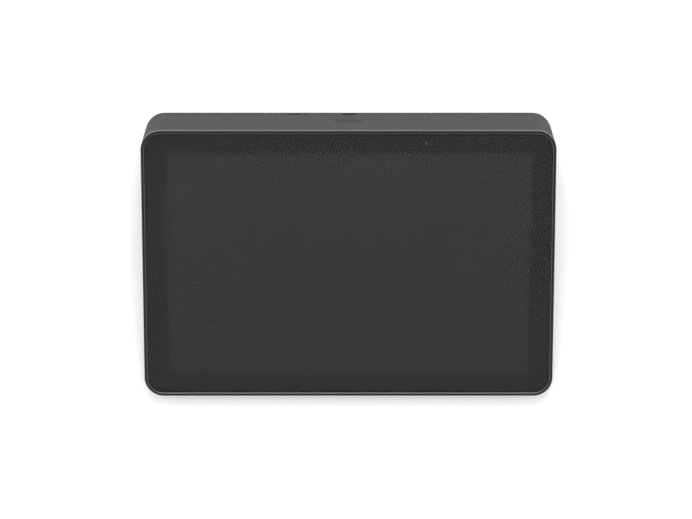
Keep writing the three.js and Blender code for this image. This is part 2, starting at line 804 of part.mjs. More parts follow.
for (const { place, x, y } of feet) {
  const shape = roundedRect(FOOT_LENGTH, FOOT_WIDTH, FOOT_WIDTH / 2, x, y);
  const geometry = extrude(shape, 0, baseBottom + FOOT_RECESS - GAP);
  addPiece(housing, `foot_${place}`, geometry, finishes.rubber);
}

// Bay cover: a flat plate whose side tongues run in the rails, closing the outlet from below

function bayCover() {
  const tongueBottom = baseBottom + RAIL_LIP + SLIP;
  const wedge = solid(onSlope(extrude(faceOutline(0), deep, 0)));
  const plate = join(
    block(-coverHalf, coverHalf, coverFront, depth, baseBottom, coverTop),
    block(-railHalf, railHalf, coverFront, depth, tongueBottom, coverTop),
  );
  const grip = roundedRect(GRIP_WIDTH, GRIP_LENGTH, GRIP_LENGTH / 2, 0, rearEdge - GRIP_FROM_REAR);
  return cut(
    plate.intersect(wedge),
    extrude(grip, 0, baseBottom + GRIP_DEPTH),
  );
}

addPiece(housing, "bay_cover", bayCover(), finishes.base);

// Cable saddle and clamp: a grooved block bonded under the bay's ceiling, and a grooved bar that
// two screws pull up against it, with the cables between them

function groovedBlock(bottom, top, holeTop) {
  const half = CLAMP_WIDTH / 2;
  const middle = (saddleFront + saddleRear) / 2;
  const holes = [-clampScrewX, clampScrewX].map((x) => {
    return rod(smallHole, x, middle, bottom - PAST, holeTop, SMALL_STEPS);
  });
  const grooves = cableXs.map((x) => {
    return bar(CABLE_RADIUS, x, saddleBottom - GAP / 2, saddleFront - PAST, saddleRear + PAST);
  });
  const whole = solid(block(-half, half, saddleFront, saddleRear, bottom, top));
  return cut(whole, ...holes, ...grooves);
}

const saddleTop = bayTop - GAP;
const saddle = groovedBlock(saddleBottom, saddleTop, saddleTop - PAST);
addPiece(housing, "cable_saddle", saddle, finishes.base);
const clampTop = CLAMP_BOTTOM + CLAMP_THICKNESS;
const clamp = groovedBlock(CLAMP_BOTTOM, clampTop, clampTop + PAST);
addPiece(housing, "cable_clamp", clamp, finishes.base);
for (const [place, side] of [["left", -1], ["right", 1]]) {
  const geometry = screw(
    SMALL_HEAD_RADIUS, SMALL_HEAD_HEIGHT, SMALL_SHANK_RADIUS, CLAMP_THICKNESS + 4,
  );
  const mesh = addPiece(housing, `clamp_screw_${place}`, geometry, finishes.screw);
  mesh.rotation.x = Math.PI;
  mesh.position.set(side * clampScrewX, (saddleFront + saddleRear) / 2, CLAMP_BOTTOM - GAP);
}

// Lock plate: steel behind the lock slot

function lockPlate() {
  const rear = rearInner - GAP;
  const plate = onSlope(
    block(
      LOCK_X - LOCK_PLATE_LEFT,
      LOCK_X + LOCK_PLATE_RIGHT,
      rear - LOCK_PLATE_THICKNESS,
      rear,
      deep,
      rearDepthAt(LOCK_CENTRE) + LOCK_PLATE_RISE,
    ),
  );
  return cut(solid(plate), below(baseTop + GAP), lockCutter(0));
}

addPiece(housing, "lock_plate", lockPlate(), finishes.steel);

// Reset button: a plunger through the rear wall, with a collar that stops behind it

const wallAtReset = rearEdge - (LOCK_CENTRE - FOOT_STAND) * Math.tan(tilt);
const innerAtReset = wallAtReset - shellIn / Math.cos(tilt);
const collarRear = innerAtReset - RESET_COLLAR * Math.tan(tilt) - GAP;
const collarFront = collarRear - RESET_COLLAR_LENGTH;
const resetFront = collarFront - RESET_NOSE;
const resetRear = wallAtReset - RESET_SINK;
const resetProfile = [
  new THREE.Vector2(0, resetFront),
  new THREE.Vector2(RESET_RADIUS, resetFront),
  new THREE.Vector2(RESET_RADIUS, collarFront),
  new THREE.Vector2(RESET_COLLAR, collarFront),
  new THREE.Vector2(RESET_COLLAR, collarRear),
  new THREE.Vector2(RESET_RADIUS, collarRear),
  new THREE.Vector2(RESET_RADIUS, resetRear),
  new THREE.Vector2(0, resetRear),
];
const resetPiece = addPiece(
  housing,
  "reset_button",
  new THREE.LatheGeometry(resetProfile, ROUND_STEPS),
  finishes.component,
);
resetPiece.position.set(RESET_X, 0, LOCK_CENTRE);

const switchRear = resetFront - RESET_TRAVEL - GAP;
const switchFront = switchRear - RESET_SWITCH_LENGTH;
const resetSwitch = block(
  RESET_X - RESET_SWITCH_WIDTH / 2,
  RESET_X + RESET_SWITCH_WIDTH / 2,
  switchFront,
  switchRear,
  LOCK_CENTRE - RESET_SWITCH_HEIGHT / 2,
  LOCK_CENTRE + RESET_SWITCH_HEIGHT / 2,
);
addPiece(electronics, "reset_switch", resetSwitch, finishes.component);
const resetBoard = block(
  RESET_X - RESET_BOARD_WIDTH / 2,
  RESET_X + RESET_BOARD_WIDTH / 2,
  switchFront - GAP - THIN_BOARD,
  switchFront - GAP,
  baseTop + GAP,
  LOCK_CENTRE + RESET_BOARD_RISE,
);
addPiece(electronics, "reset_board", resetBoard, finishes.board);

// Main board with its shield, heat sink, power and wireless modules

function mainBoard() {
  const half = BOARD_WIDTH / 2;
  const plate = solid(block(-half, half, boardFront, boardRear, boardBottom, boardTop));
  const holes = standoffs.map(({ x, y }) => {
    return rod(smallHole, x, y, boardBottom - PAST, boardTop + PAST, SMALL_STEPS);
  });
  return cut(plate, ...holes);
}

addPiece(electronics, "main_board", mainBoard(), finishes.board);
for (const { place, x, y } of standoffs) {
  const shank = BOARD_THICKNESS + BOARD_STANDOFF + 2 * GAP;
  const geometry = screw(SMALL_HEAD_RADIUS, SMALL_HEAD_HEIGHT, SMALL_SHANK_RADIUS, shank);
  const mesh = addPiece(electronics, `board_screw_${place}`, geometry, finishes.screw);
  mesh.position.set(x, y, boardTop + GAP);
}

function onBoard(name, { left, width, fromFront, length, height }, material) {
  const front = boardFront + fromFront;
  const top = partsBottom + height;
  addPiece(
    electronics, name, block(left, left + width, front, front + length, partsBottom, top), material,
  );
}

onBoard("processor_shield", SHIELD, finishes.sheetMetal);
onBoard("power_module", POWER, finishes.component);
onBoard("wireless_module", WIRELESS, finishes.sheetMetal);
onBoard("display_connector", DISPLAY_PLUG, finishes.component);

function heatSink() {
  const bottom = partsBottom + SHIELD.height + GAP;
  const finBottom = bottom + SINK.base;
  const front = boardFront + SINK.fromFront;
  const rear = front + SINK.length;
  let sink = solid(block(SINK.left, SINK.left + SINK.width, front, rear, bottom, finBottom));
  const pitch = (SINK.width - SINK.finWidth) / (SINK.fins - 1);
  for (let fin = 0; fin < SINK.fins; fin += 1) {
    const left = SINK.left + fin * pitch;
    const top = finBottom + SINK.fin;
    sink = sink.add(solid(block(left, left + SINK.finWidth, front, rear, bottom, top)));
  }
  return sink;
}

addPiece(electronics, "heat_sink", heatSink(), finishes.sheetMetal);

// Sockets: their mouths look to the rear, into the bay

const socketRear = bayFront + SOCKET_PROUD;
const roundness = 0.48; // corner radius as a share of the height, just short of a full round end

function networkSocket() {
  const { x, width, height, length, plugWidth, plugHeight, plugDepth, latchWidth, latchHeight } = NETWORK;
  const body = block(
    x - width / 2, x + width / 2, socketRear - length, socketRear, partsBottom, partsBottom + height,
  );
  const floor = partsBottom + NETWORK.floor;
  const top = floor + plugHeight;
  const blind = socketRear - plugDepth;
  return cut(
    solid(body),
    block(x - plugWidth / 2, x + plugWidth / 2, blind, socketRear + PAST, floor, top),
    block(
      x - latchWidth / 2, x + latchWidth / 2, blind, socketRear + PAST, top - PAST, top + latchHeight,
    ),
  );
}

addPiece(electronics, "network_socket", networkSocket(), finishes.steel);

function usbSocket() {
  const { x, width, height, length, wall, back, tongue, tongueFront } = USB;
  const mouthHeight = height - 2 * wall;
  const body = extrude(roundedRect(width, height, roundness * height, x), 0, length);
  const mouth = extrude(
    roundedRect(width - 2 * wall, mouthHeight, roundness * mouthHeight, x), -PAST, length - back,
  );
  const blade = block(x - tongue / 2, x + tongue / 2, -wall, wall, tongueFront, length);
  const geometry = geometryOf(cut(solid(body), mouth).add(solid(blade))).rotateX(Math.PI / 2);
  return geometry.translate(0, socketRear, partsBottom + height / 2);
}

addPiece(electronics, "usb_socket", usbSocket(), finishes.steel);

// Ribbons: flat flexes from the display's lower edge, under the chassis and onto the board

function ribbon(name, left, right) {
  const start = frontEdge + RIBBON_FROM_FRONT;
  const half = RIBBON_THICKNESS / 2;
  const path = [
    [start, heightOf(backlightBottom, start) - RIBBON_CLEAR],
    [start + RIBBON_DROP, boardBottom + RIBBON_CLEAR / 2],
    [boardFront - RIBBON_RISE, boardBottom + RIBBON_CLEAR / 4],
    [boardFront - RIBBON_STEP, boardTop + PAST],
    [boardFront + RIBBON_LAND, boardTop + PAST],
  ];
  const upper = path.map(([y, z]) => new THREE.Vector2(y, z + half));
  const lower = path.map(([y, z]) => new THREE.Vector2(y, z - half)).reverse();
  const shape = new THREE.Shape([...upper, ...lower]);
  const flat = new THREE.ExtrudeGeometry(shape, { depth: right - left, bevelEnabled: false });
  // the profile is drawn in Y and Z, so its own axes are turned onto them
  flat.applyMatrix4(new THREE.Matrix4().set(0, 0, 1, left, 1, 0, 0, 0, 0, 1, 0, 0, 0, 0, 0, 1));
  addPiece(electronics, name, flat, finishes.flex);
}

ribbon("display_ribbon", 20, 48);
ribbon("touch_ribbon", -20, -8);

// Loudspeakers stand behind the rear wall's grilles, and antennas lie on the side walls

for (const [place, side] of [["left", -1], ["right", 1]]) {
  const rear = rearInner - GAP;
  const top = -SPEAKER_FROM_TOP;
  const middle = side * speakerX;
  const box = block(
    middle - SPEAKER_WIDTH / 2,
    middle + SPEAKER_WIDTH / 2,
    rear - SPEAKER_THICKNESS,
    rear,
    top - SPEAKER_HEIGHT,
    top,
  );
  const dish = bar(
    CONE_RADIUS, middle, top - SPEAKER_HEIGHT / 2, rear - CONE_DEPTH, rear + PAST, 2 * SMALL_STEPS,
  );
  addPiece(display, `speaker_${place}`, cut(solid(box), dish), finishes.component);

  const wall = side * (sideInner - GAP);
  const inward = wall - side * THIN_BOARD;
  const antenna = block(
    Math.min(wall, inward),
    Math.max(wall, inward),
    ANTENNA_FRONT,
    ANTENNA_REAR,
    ANTENNA_BOTTOM,
    ANTENNA_TOP,
  );
  addPiece(display, `antenna_${place}`, antenna, finishes.board);
}

// The footprint's centre is put exactly at the origin
const bounds = new THREE.Box3().setFromObject(device, true);
const centre = bounds.getCenter(new THREE.Vector3());
device.position.set(-centre.x, -centre.y, -bounds.min.z);

export default device;
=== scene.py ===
import math

import bmesh
import bpy
from mathutils import Matrix, Vector


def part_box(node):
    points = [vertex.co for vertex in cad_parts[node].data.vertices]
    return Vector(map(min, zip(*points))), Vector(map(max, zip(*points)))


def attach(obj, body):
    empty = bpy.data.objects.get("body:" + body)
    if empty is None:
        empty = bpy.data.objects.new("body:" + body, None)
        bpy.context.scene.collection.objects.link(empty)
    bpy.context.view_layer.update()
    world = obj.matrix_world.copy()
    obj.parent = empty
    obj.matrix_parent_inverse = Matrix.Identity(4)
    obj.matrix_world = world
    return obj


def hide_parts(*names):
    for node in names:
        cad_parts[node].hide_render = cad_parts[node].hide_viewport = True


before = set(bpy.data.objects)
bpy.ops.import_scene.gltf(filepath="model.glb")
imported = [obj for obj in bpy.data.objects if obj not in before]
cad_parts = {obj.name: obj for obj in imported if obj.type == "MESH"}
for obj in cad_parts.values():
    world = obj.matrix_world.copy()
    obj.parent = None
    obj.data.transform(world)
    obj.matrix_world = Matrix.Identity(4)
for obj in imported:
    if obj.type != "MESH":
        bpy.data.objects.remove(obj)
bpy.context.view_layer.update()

# The table, the light and the camera. The device lies on a plain pale surface under an even,
# bright studio tent, with one wide soft lamp high behind its tall wall. The camera hangs nearly two
# metres above it and looks straight down, so the tall wall shows above the sloping face.
EYE_HEIGHT = 1.85
EYE_ASIDE = (-0.0015, -0.0034)  # the camera isn't quite over the middle
LENS_MM = 158.7
SENSOR_MM = 36.0
TENT_LIGHT = 1.3
LAMP_WATTS = 40.0
LAMP_SIZE = 1.6
LAMP_PLACE = Vector((0.0, 1.9, 1.25))
TABLE_REACH = 4.0
TABLE_COLOUR = (0.865, 0.865, 0.865, 1.0)

scene = bpy.context.scene
scene.view_settings.view_transform = "Standard"

world = bpy.data.worlds.new("studio tent")
world.use_nodes = True
world.node_tree.nodes["Background"].inputs["Color"].default_value = (1.0, 1.0, 1.0, 1.0)
world.node_tree.nodes["Background"].inputs["Strength"].default_value = TENT_LIGHT
scene.world = world

lamp_data = bpy.data.lights.new("rear softbox", "AREA")
lamp_data.energy = LAMP_WATTS
lamp_data.size = LAMP_SIZE
lamp = bpy.data.objects.new("rear softbox", lamp_data)
lamp.location = LAMP_PLACE
lamp.rotation_euler = (-LAMP_PLACE).to_track_quat("-Z", "Y").to_euler()
scene.collection.objects.link(lamp)

eye_data = bpy.data.cameras.new("overhead camera")
eye_data.lens = LENS_MM
eye_data.sensor_width = SENSOR_MM
eye_data.clip_end = 20.0
eye = bpy.data.objects.new("overhead camera", eye_data)
eye.location = (*EYE_ASIDE, EYE_HEIGHT)
scene.collection.objects.link(eye)
scene.camera = eye


SHARP_DEGREES = 8.0  # a fold sharper than this shows as a crease


def new_material(name):
    """A material with a Principled shader and nothing else; returns it, its nodes and links."""
    material = bpy.data.materials.new(name)
    material.use_nodes = True
    return material, material.node_tree, material.node_tree.nodes["Principled BSDF"]


def add_mesh(name, points, faces, material, body=None, flat=False):
    """A piece of the object, or of the stage when it rides on nothing."""
    mesh = bpy.data.meshes.new(name)
    mesh.from_pydata([tuple(point) for point in points], [], faces)
    mesh.materials.append(material)
    mesh.polygons.foreach_set("use_smooth", [not flat] * len(mesh.polygons))
    mesh.set_sharp_from_angle(angle=math.radians(SHARP_DEGREES))
    piece = bpy.data.objects.new(name, mesh)
    scene.collection.objects.link(piece)
    if body:
        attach(piece, body)
    return piece


table_material, _, table_shader = new_material("pale table")
table_shader.inputs["Base Color"].default_value = TABLE_COLOUR
table_shader.inputs["Roughness"].default_value = 0.8
table_corners = [(-1, -1, 0), (1, -1, 0), (1, 1, 0), (-1, 1, 0)]
table = add_mesh(
    "table", [Vector(corner) * TABLE_REACH for corner in table_corners], [(0, 1, 2, 3)],
    table_material,
)


# Front rim: an injection-moulded frame in charcoal plastic with a fine satin grain. Its outer
# edge is rounded, its inner edge has a narrow chamfer beside the glass, and a ledge under the
# glass carries it. It is stuck down on the shell with a ring of tape.
TILT = math.radians(15.0)
GLASS_MIDDLE = 0.0008  # the middle of the glass lies this far below the rim's crest
CORNER = 0.0115
CORNER_STEPS = 24
RIM_WIDTH = 0.002
RIM_DEPTH = 0.003
RIM_ROUND = 0.0005
RIM_CHAMFER = 0.00035
LEDGE_REACH = 0.006
LEDGE_TOP = -0.00205
ROUND_STEPS = 10

rim_low, rim_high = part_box("front_rim")
glass_low, glass_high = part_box("cover_glass")
half_width = (rim_high.x - rim_low.x) / 2
glass_corner_gap = (rim_high.x - glass_high.x)
half_length = (glass_high - glass_low).z / 2
half_length = (half_length - 0.00055 * math.cos(TILT)) / math.sin(TILT) + glass_corner_gap
face = (
    Matrix.Translation((glass_low + glass_high) / 2)
    @ Matrix.Rotation(TILT, 4, "X")
    @ Matrix.Translation((0.0, 0.0, GLASS_MIDDLE))
)


def outline(inset):
    """The face's rounded outline, drawn in by inset, anticlockwise from the middle of the front."""
    radius = CORNER - inset
    across = half_width - CORNER
    along = half_length - CORNER
    points = [(0.0, -along - radius)]
    for x_side, y_side, start in ((1, -1, -90), (1, 1, 0), (-1, 1, 90), (-1, -1, 180)):
        for step in range(CORNER_STEPS + 1):
            angle = math.radians(start + 90.0 * step / CORNER_STEPS)
            points.append(
                (x_side * across + radius * math.cos(angle), y_side * along + radius * math.sin(angle))
            )
    return points


def band(profile):
    """Rings of points on the sloping face, one for each (inset, height above the face)."""
    return [
        [face @ Vector((x, y, height)) for x, y in outline(inset)] for inset, height in profile
    ]


def skin(rings, close=False, caps=False):
    """Points and faces of a surface through rings of equal length."""
    count = len(rings[0])
    points = [point for ring in rings for point in ring]
    faces = []
    pairs = len(rings) if close else len(rings) - 1
    for row in range(pairs):
        low = row * count
        high = (row + 1) % len(rings) * count
        for i in range(count):
            j = (i + 1) % count
            faces.append((low + i, low + j, high + j, high + i))
    if caps:
        faces.append(tuple(reversed(range(count))))
        faces.append(tuple((len(rings) - 1) * count + i for i in range(count)))
    return points, faces


def outward(piece):
    """Turns every face of a closed piece outwards."""
    shape = bmesh.new()
    shape.from_mesh(piece.data)
    bmesh.ops.recalc_face_normals(shape, faces=shape.faces)
    shape.to_mesh(piece.data)
    shape.free()
    return piece


def arc(centre, radius, start, end, steps=ROUND_STEPS):
    """Points of a profile's round stretch, with angles in degrees."""
    angles = [math.radians(start + (end - start) * i / steps) for i in range(steps + 1)]
    return [
        (centre[0] + radius * math.cos(angle), centre[1] + radius * math.sin(angle))
        for angle in angles
    ]


def new_group(name, inputs, outputs):
    """A shader node group with named sockets; returns it, its input node and its output node."""
    group = bpy.data.node_groups.new(name, "ShaderNodeTree")
    for label, kind, value in inputs:
        socket = group.interface.new_socket(label, in_out="INPUT", socket_type=kind)
        if value is not None:
            socket.default_value = value
    for label, kind in outputs:
        group.interface.new_socket(label, in_out="OUTPUT", socket_type=kind)
    return group, group.nodes.new("NodeGroupInput"), group.nodes.new("NodeGroupOutput")


def math_node(tree, operation, first, second=None, clamp=False):
    """One sum on two sockets or numbers; returns its result."""
    node = tree.nodes.new("ShaderNodeMath")
    node.operation = operation
    node.use_clamp = clamp
    for socket, value in zip(node.inputs, (first, second)):
        if value is None:
            continue
        if isinstance(value, (int, float)):
            socket.default_value = value
        else:
            tree.links.new(value, socket)
    return node.outputs[0]


def noise(tree, vector, scale, detail=2.0, roughness=0.5):
    """Noise between 0 and 1 at a scale, which is a number or a socket."""
    node = tree.nodes.new("ShaderNodeTexNoise")
    node.inputs["Detail"].default_value = detail
    node.inputs["Roughness"].default_value = roughness
    tree.links.new(vector, node.inputs["Vector"])
    if isinstance(scale, (int, float)):
        node.inputs["Scale"].default_value = scale
    else:
        tree.links.new(scale, node.inputs["Scale"])
    return node.outputs["Fac"]


def spread(tree, value, low, high):
    """Maps 0 to 1 onto low to high, which are numbers or sockets."""
    node = tree.nodes.new("ShaderNodeMapRange")
    tree.links.new(value, node.inputs["Value"])
    for name, end in (("To Min", low), ("To Max", high)):
        if isinstance(end, (int, float)):
            node.inputs[name].default_value = end
        else:
            tree.links.new(end, node.inputs[name])
    return node.outputs[0]


def blend_colours(tree, share, first, second, how="MIX"):
    """Mixes two colours, each a socket or four numbers, by share."""
    node = tree.nodes.new("ShaderNodeMix")
    node.data_type = "RGBA"
    node.blend_type = how
    for socket, value in zip((node.inputs[0], node.inputs[6], node.inputs[7]), (share, first, second)):
        if isinstance(value, (int, float, tuple)):
            socket.default_value = value
        else:
            tree.links.new(value, socket)
    return node.outputs[2]


# Grain: the fine spark-eroded texture of a mould, as small pits, a slow drift in shade and a
# drift in gloss.
grain, grain_in, grain_out = new_group(
    "moulded grain",
    [
        ("Vector", "NodeSocketVector", None),
        ("Colour", "NodeSocketColor", (0.05, 0.05, 0.05, 1.0)),
        ("Worn Colour", "NodeSocketColor", (0.1, 0.1, 0.1, 1.0)),
        ("Grain Per Metre", "NodeSocketFloat", 3500.0),
        ("Roughness", "NodeSocketFloat", 0.5),
        ("Roughness Spread", "NodeSocketFloat", 0.1),
    ],
    [
        ("Colour", "NodeSocketColor"),
        ("Roughness", "NodeSocketFloat"),
        ("Height", "NodeSocketFloat"),
    ],
)
pits = noise(grain, grain_in.outputs["Vector"], grain_in.outputs["Grain Per Metre"], 3.0, 0.6)
drift = noise(grain, grain_in.outputs["Vector"], 38.0, 3.0, 0.55)
rubbed = noise(grain, grain_in.outputs["Vector"], 160.0, 5.0, 0.7)
shade = spread(grain, drift, 0.0, 0.22)
speck = math_node(grain, "MULTIPLY", math_node(grain, "SUBTRACT", pits, 0.5), 0.5)
worn_share = math_node(grain, "ADD", shade, speck, clamp=True)
grain.links.new(
    blend_colours(
        grain, worn_share, grain_in.outputs["Colour"], grain_in.outputs["Worn Colour"]
    ),
    grain_out.inputs["Colour"],
)
gloss_drift = math_node(
    grain,
    "MULTIPLY",
    math_node(grain, "SUBTRACT", rubbed, 0.5),
    grain_in.outputs["Roughness Spread"],
)
grain.links.new(
    math_node(grain, "ADD", grain_in.outputs["Roughness"], gloss_drift, clamp=True),
    grain_out.inputs["Roughness"],
)
grain.links.new(pits, grain_out.inputs["Height"])


def object_places(tree):
    """Object coordinates, in metres, the same on every piece."""
    return tree.nodes.new("ShaderNodeTexCoord").outputs["Object"]


def moulded(name, colour, worn, roughness, gloss_spread, per_metre, pit_depth, shine=0.5):
    """A grained moulding in one plastic; shine is the specular level."""
    material, tree, shader = new_material(name)
    node = tree.nodes.new("ShaderNodeGroup")
    node.node_tree = grain
    tree.links.new(object_places(tree), node.inputs["Vector"])
    node.inputs["Colour"].default_value = (*colour, 1.0)
    node.inputs["Worn Colour"].default_value = (*worn, 1.0)
    node.inputs["Grain Per Metre"].default_value = per_metre
    node.inputs["Roughness"].default_value = roughness
    node.inputs["Roughness Spread"].default_value = gloss_spread
    shader.inputs["Specular IOR Level"].default_value = shine
    bump = tree.nodes.new("ShaderNodeBump")
    bump.inputs["Distance"].default_value = pit_depth
    tree.links.new(node.outputs["Height"], bump.inputs["Height"])
    tree.links.new(node.outputs["Colour"], shader.inputs["Base Color"])
    tree.links.new(node.outputs["Roughness"], shader.inputs["Roughness"])
    tree.links.new(bump.outputs["Normal"], shader.inputs["Normal"])
    return material


rim_material = moulded(
    "satin rim plastic", (0.0085, 0.0085, 0.009), (0.014, 0.014, 0.0145), 0.24, 0.12, 5200.0, 0.00002,
    shine=0.22,
)
# A paler copy of the rim plastic for the chamfer beside the glass: a painted highlight.
chamfer_highlight_material = moulded(
    "rim chamfer painted highlight", (0.075, 0.075, 0.077), (0.105, 0.105, 0.107), 0.3, 0.15, 5200.0, 0.00001
)
rim_profile = (
    [(0.00015, -RIM_DEPTH), (0.0, -RIM_DEPTH + 0.00015)]
    + arc((RIM_ROUND, -RIM_ROUND), RIM_ROUND, 180, 90)
    + [
        (RIM_WIDTH - RIM_CHAMFER, 0.0),
        (RIM_WIDTH - 0.00005, -RIM_CHAMFER + 0.00005),
        (RIM_WIDTH, -RIM_CHAMFER - 0.0001),
        (RIM_WIDTH, LEDGE_TOP),
        (LEDGE_REACH, LEDGE_TOP),
        (LEDGE_REACH, -RIM_DEPTH),
    ]
)
rim = add_mesh("rim", *skin(band(rim_profile), close=True), rim_material, "device")
# The chamfer gets a paler copy of the rim plastic: a painted highlight, standing in for the light that
# falls on it.
rim.data.materials.append(chamfer_highlight_material)
for polygon in rim.data.polygons:
    corners = [face.inverted() @ rim.data.vertices[i].co for i in polygon.vertices]
    levels = [corner.z for corner in corners]
    if max(levels) - min(levels) > RIM_CHAMFER / 2 and min(levels) > -RIM_CHAMFER - 0.00001:
        polygon.material_index = 1
outward(rim)
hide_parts("front_rim")


# Cover glass: one sheet of toughened glass with a ground and polished edge and a coating that
# cuts its reflections. Black ink printed on its back frames the lit area, with a small clear
# dot for the light sensor.
GLASS_INSET = 0.00225
GLASS_TOP = -0.00025
GLASS_THICKNESS = 0.0011
GLASS_EDGE = 0.00035
GLASS_CLEAR = (0.94, 0.937, 0.937, 1.0)
GLASS_INDEX = 1.09  # low, for the coating that cuts the sheet's reflections
BEZEL_SIDE = 0.0145
BEZEL_END = 0.01395
INK_THICKNESS = 0.00004
INK_GAP = 0.00002
INK_INSET = 0.0026
SENSOR_DOT = 0.0008

glass_material, glass_tree, glass_shader = new_material("coated cover glass")
glass_shader.inputs["Base Color"].default_value = GLASS_CLEAR
glass_shader.inputs["Transmission Weight"].default_value = 1.0
glass_shader.inputs["IOR"].default_value = GLASS_INDEX
smudges = noise(glass_tree, object_places(glass_tree), 26.0, 4.0, 0.62)
glass_tree.links.new(spread(glass_tree, smudges, 0.0, 0.02), glass_shader.inputs["Roughness"])
# Light that falls on the print and the cell passes straight through the sheet.
glass_light = glass_tree.nodes.new("ShaderNodeLightPath")
glass_clear = glass_tree.nodes.new("ShaderNodeBsdfTransparent")
glass_clear.inputs["Color"].default_value = GLASS_CLEAR
glass_seen = glass_shader.outputs["BSDF"]
for rays in ("Is Diffuse Ray", "Is Shadow Ray"):
    glass_mix = glass_tree.nodes.new("ShaderNodeMixShader")
    glass_tree.links.new(glass_light.outputs[rays], glass_mix.inputs["Fac"])
    glass_tree.links.new(glass_seen, glass_mix.inputs[1])
    glass_tree.links.new(glass_clear.outputs["BSDF"], glass_mix.inputs[2])
    glass_seen = glass_mix.outputs["Shader"]
glass_tree.links.new(glass_seen, glass_tree.nodes["Material Output"].inputs["Surface"])

glass_bottom = GLASS_TOP - GLASS_THICKNESS
glass_profile = (
    [(GLASS_INSET + 0.0001, glass_bottom), (GLASS_INSET, glass_bottom + 0.0001)]
    + arc((GLASS_INSET + GLASS_EDGE, GLASS_TOP - GLASS_EDGE), GLASS_EDGE, 180, 90)
)
glass = add_mesh("glass", *skin(band(glass_profile), caps=True), glass_material, "device")
outward(glass)
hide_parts("cover_glass")

ink_material, ink_tree, ink_shader = new_material("black back-printed ink")
ink_shader.inputs["Specular IOR Level"].default_value = 0.2
ink_mottle = noise(ink_tree, object_places(ink_tree), 420.0, 3.0)
ink_colour = blend_colours(
    ink_tree, ink_mottle, (0.0088, 0.0088, 0.0091, 1.0), (0.0104, 0.0104, 0.0107, 1.0)
)
ink_tree.links.new(ink_colour, ink_shader.inputs["Base Color"])
ink_tree.links.new(spread(ink_tree, ink_mottle, 0.35, 0.5), ink_shader.inputs["Roughness"])


def lit_edge(height):
    """The inner edge of the ink, a plain rectangle with as many points as the outline."""
    across = half_width - BEZEL_SIDE
    along = half_length - BEZEL_END
    points = []
    for x, y in outline(CORNER - 0.0001):
        reach = max(abs(x) / (half_width - CORNER), abs(y) / (half_length - CORNER))
        points.append(face @ Vector((
            across * max(-1.0, min(1.0, x / (half_width - CORNER) / reach)),
            along * max(-1.0, min(1.0, y / (half_length - CORNER) / reach)),
            height,
        )))
    return points


ink_top = glass_bottom - INK_GAP
ink_low = ink_top - INK_THICKNESS
ink_rings = [
    band([(INK_INSET, ink_top)])[0],
    lit_edge(ink_top),
    lit_edge(ink_low),
    band([(INK_INSET, ink_low)])[0],
]
ink = add_mesh("glass_print", *skin(ink_rings, close=True), ink_material, "device", flat=True)
outward(ink)


# Light sensor window: a small clear dot in the ink, filled with grey translucent ink, so that
# the sensor under the glass sees the room.
sensor_low, sensor_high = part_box("light_sensor")
sensor_place = face.inverted() @ ((sensor_low + sensor_high) / 2)
dot_material, dot_tree, dot_shader = new_material("translucent sensor ink")
dot_mottle = noise(dot_tree, object_places(dot_tree), 2600.0, 2.0)
dot_tree.links.new(
    blend_colours(dot_tree, dot_mottle, (0.022, 0.023, 0.025, 1.0), (0.03, 0.031, 0.034, 1.0)),
    dot_shader.inputs["Base Color"],
)
dot_shader.inputs["Roughness"].default_value = 0.3


def disc(centre, radius, height, steps=28):
    """A round ring of points on the sloping face."""
    angles = [2 * math.pi * i / steps for i in range(steps)]
    return [
        face @ Vector((
            centre.x + radius * math.cos(angle), centre.y + radius * math.sin(angle), height
        ))
        for angle in angles
    ]


dot_rings = [
    disc(sensor_place, SENSOR_DOT, ink_top + 0.000004),
    disc(sensor_place, SENSOR_DOT * 0.8, ink_top + 0.000008),
]
dot = add_mesh("sensor_window", *skin(dot_rings, caps=True), dot_material, "device", flat=True)
outward(dot)


# Display cell: two thin glass plates with a polariser on the front, dark grey when unlit, and a
# grid of cells too fine to see that shows only as a slight unevenness.
cell_material, cell_tree, cell_shader = new_material("unlit display cell")
cell_spots = cell_tree.nodes.new("ShaderNodeTexVoronoi")
cell_spots.inputs["Scale"].default_value = 4200.0
cell_places = object_places(cell_tree)
cell_tree.links.new(cell_places, cell_spots.inputs["Vector"])
cell_drift = noise(cell_tree, cell_places, 9.0, 2.0)
cell_far = cell_tree.nodes.new("ShaderNodeSeparateXYZ")
cell_tree.links.new(cell_places, cell_far.inputs["Vector"])
# Painted reflection: the cell's grey is made lighter towards the rear edge of the face, standing in
# for the brighter reflection of the rear light there. A slow random drift in tone is added on top.
cell_painted_reflection = spread(cell_tree, math_node(cell_tree, "ADD", math_node(
    cell_tree, "MULTIPLY", cell_far.outputs["Y"], 5.0), 0.5, clamp=True), 0.0, 0.6)
cell_reflection_and_drift = math_node(
    cell_tree, "ADD", cell_painted_reflection, math_node(cell_tree, "MULTIPLY", cell_drift, 0.3), clamp=True
)
cell_tree.links.new(
    blend_colours(cell_tree, cell_reflection_and_drift, (0.0168, 0.0168, 0.0172, 1.0), (0.0258, 0.0258, 0.0264, 1.0)),
    cell_shader.inputs["Base Color"],
)
cell_tree.links.new(
    spread(cell_tree, cell_spots.outputs["Distance"], 0.42, 0.55), cell_shader.inputs["Roughness"]
)
cell_shader.inputs["Specular IOR Level"].default_value = 0.15


def repaint(material, *nodes):
    """Gives the CAD nodes whose shape is right a better material."""
    for node in nodes:
        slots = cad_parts[node].material_slots
        for place in slots:
            place.material = material


repaint(cell_material, "display_cell")


# Textile wrap: a strip of stretched grey knit, folded under at its top and bottom edges and
# glued round the shell's wall, with openings for the badge, the lock and the cable.
TEXTILE_THICKNESS = 0.0008
TEXTILE_TOP = -0.0033
TEXTILE_FOLD = 0.0003
TEXTILE_TUCK = 0.0008  # the top edge curves in under the rim over this height
TEXTILE_CURVE = ((0.0, 1.0), (0.00006, 0.55), (0.0002, 0.22), (0.00045, 0.0))
TEXTILE_EASE = 0.0001
STITCH_STRETCH = 2.4  # a stitch is this much taller than it is wide
KNIT_PITCH = 0.0017

textile_low, textile_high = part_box("textile_wrap")


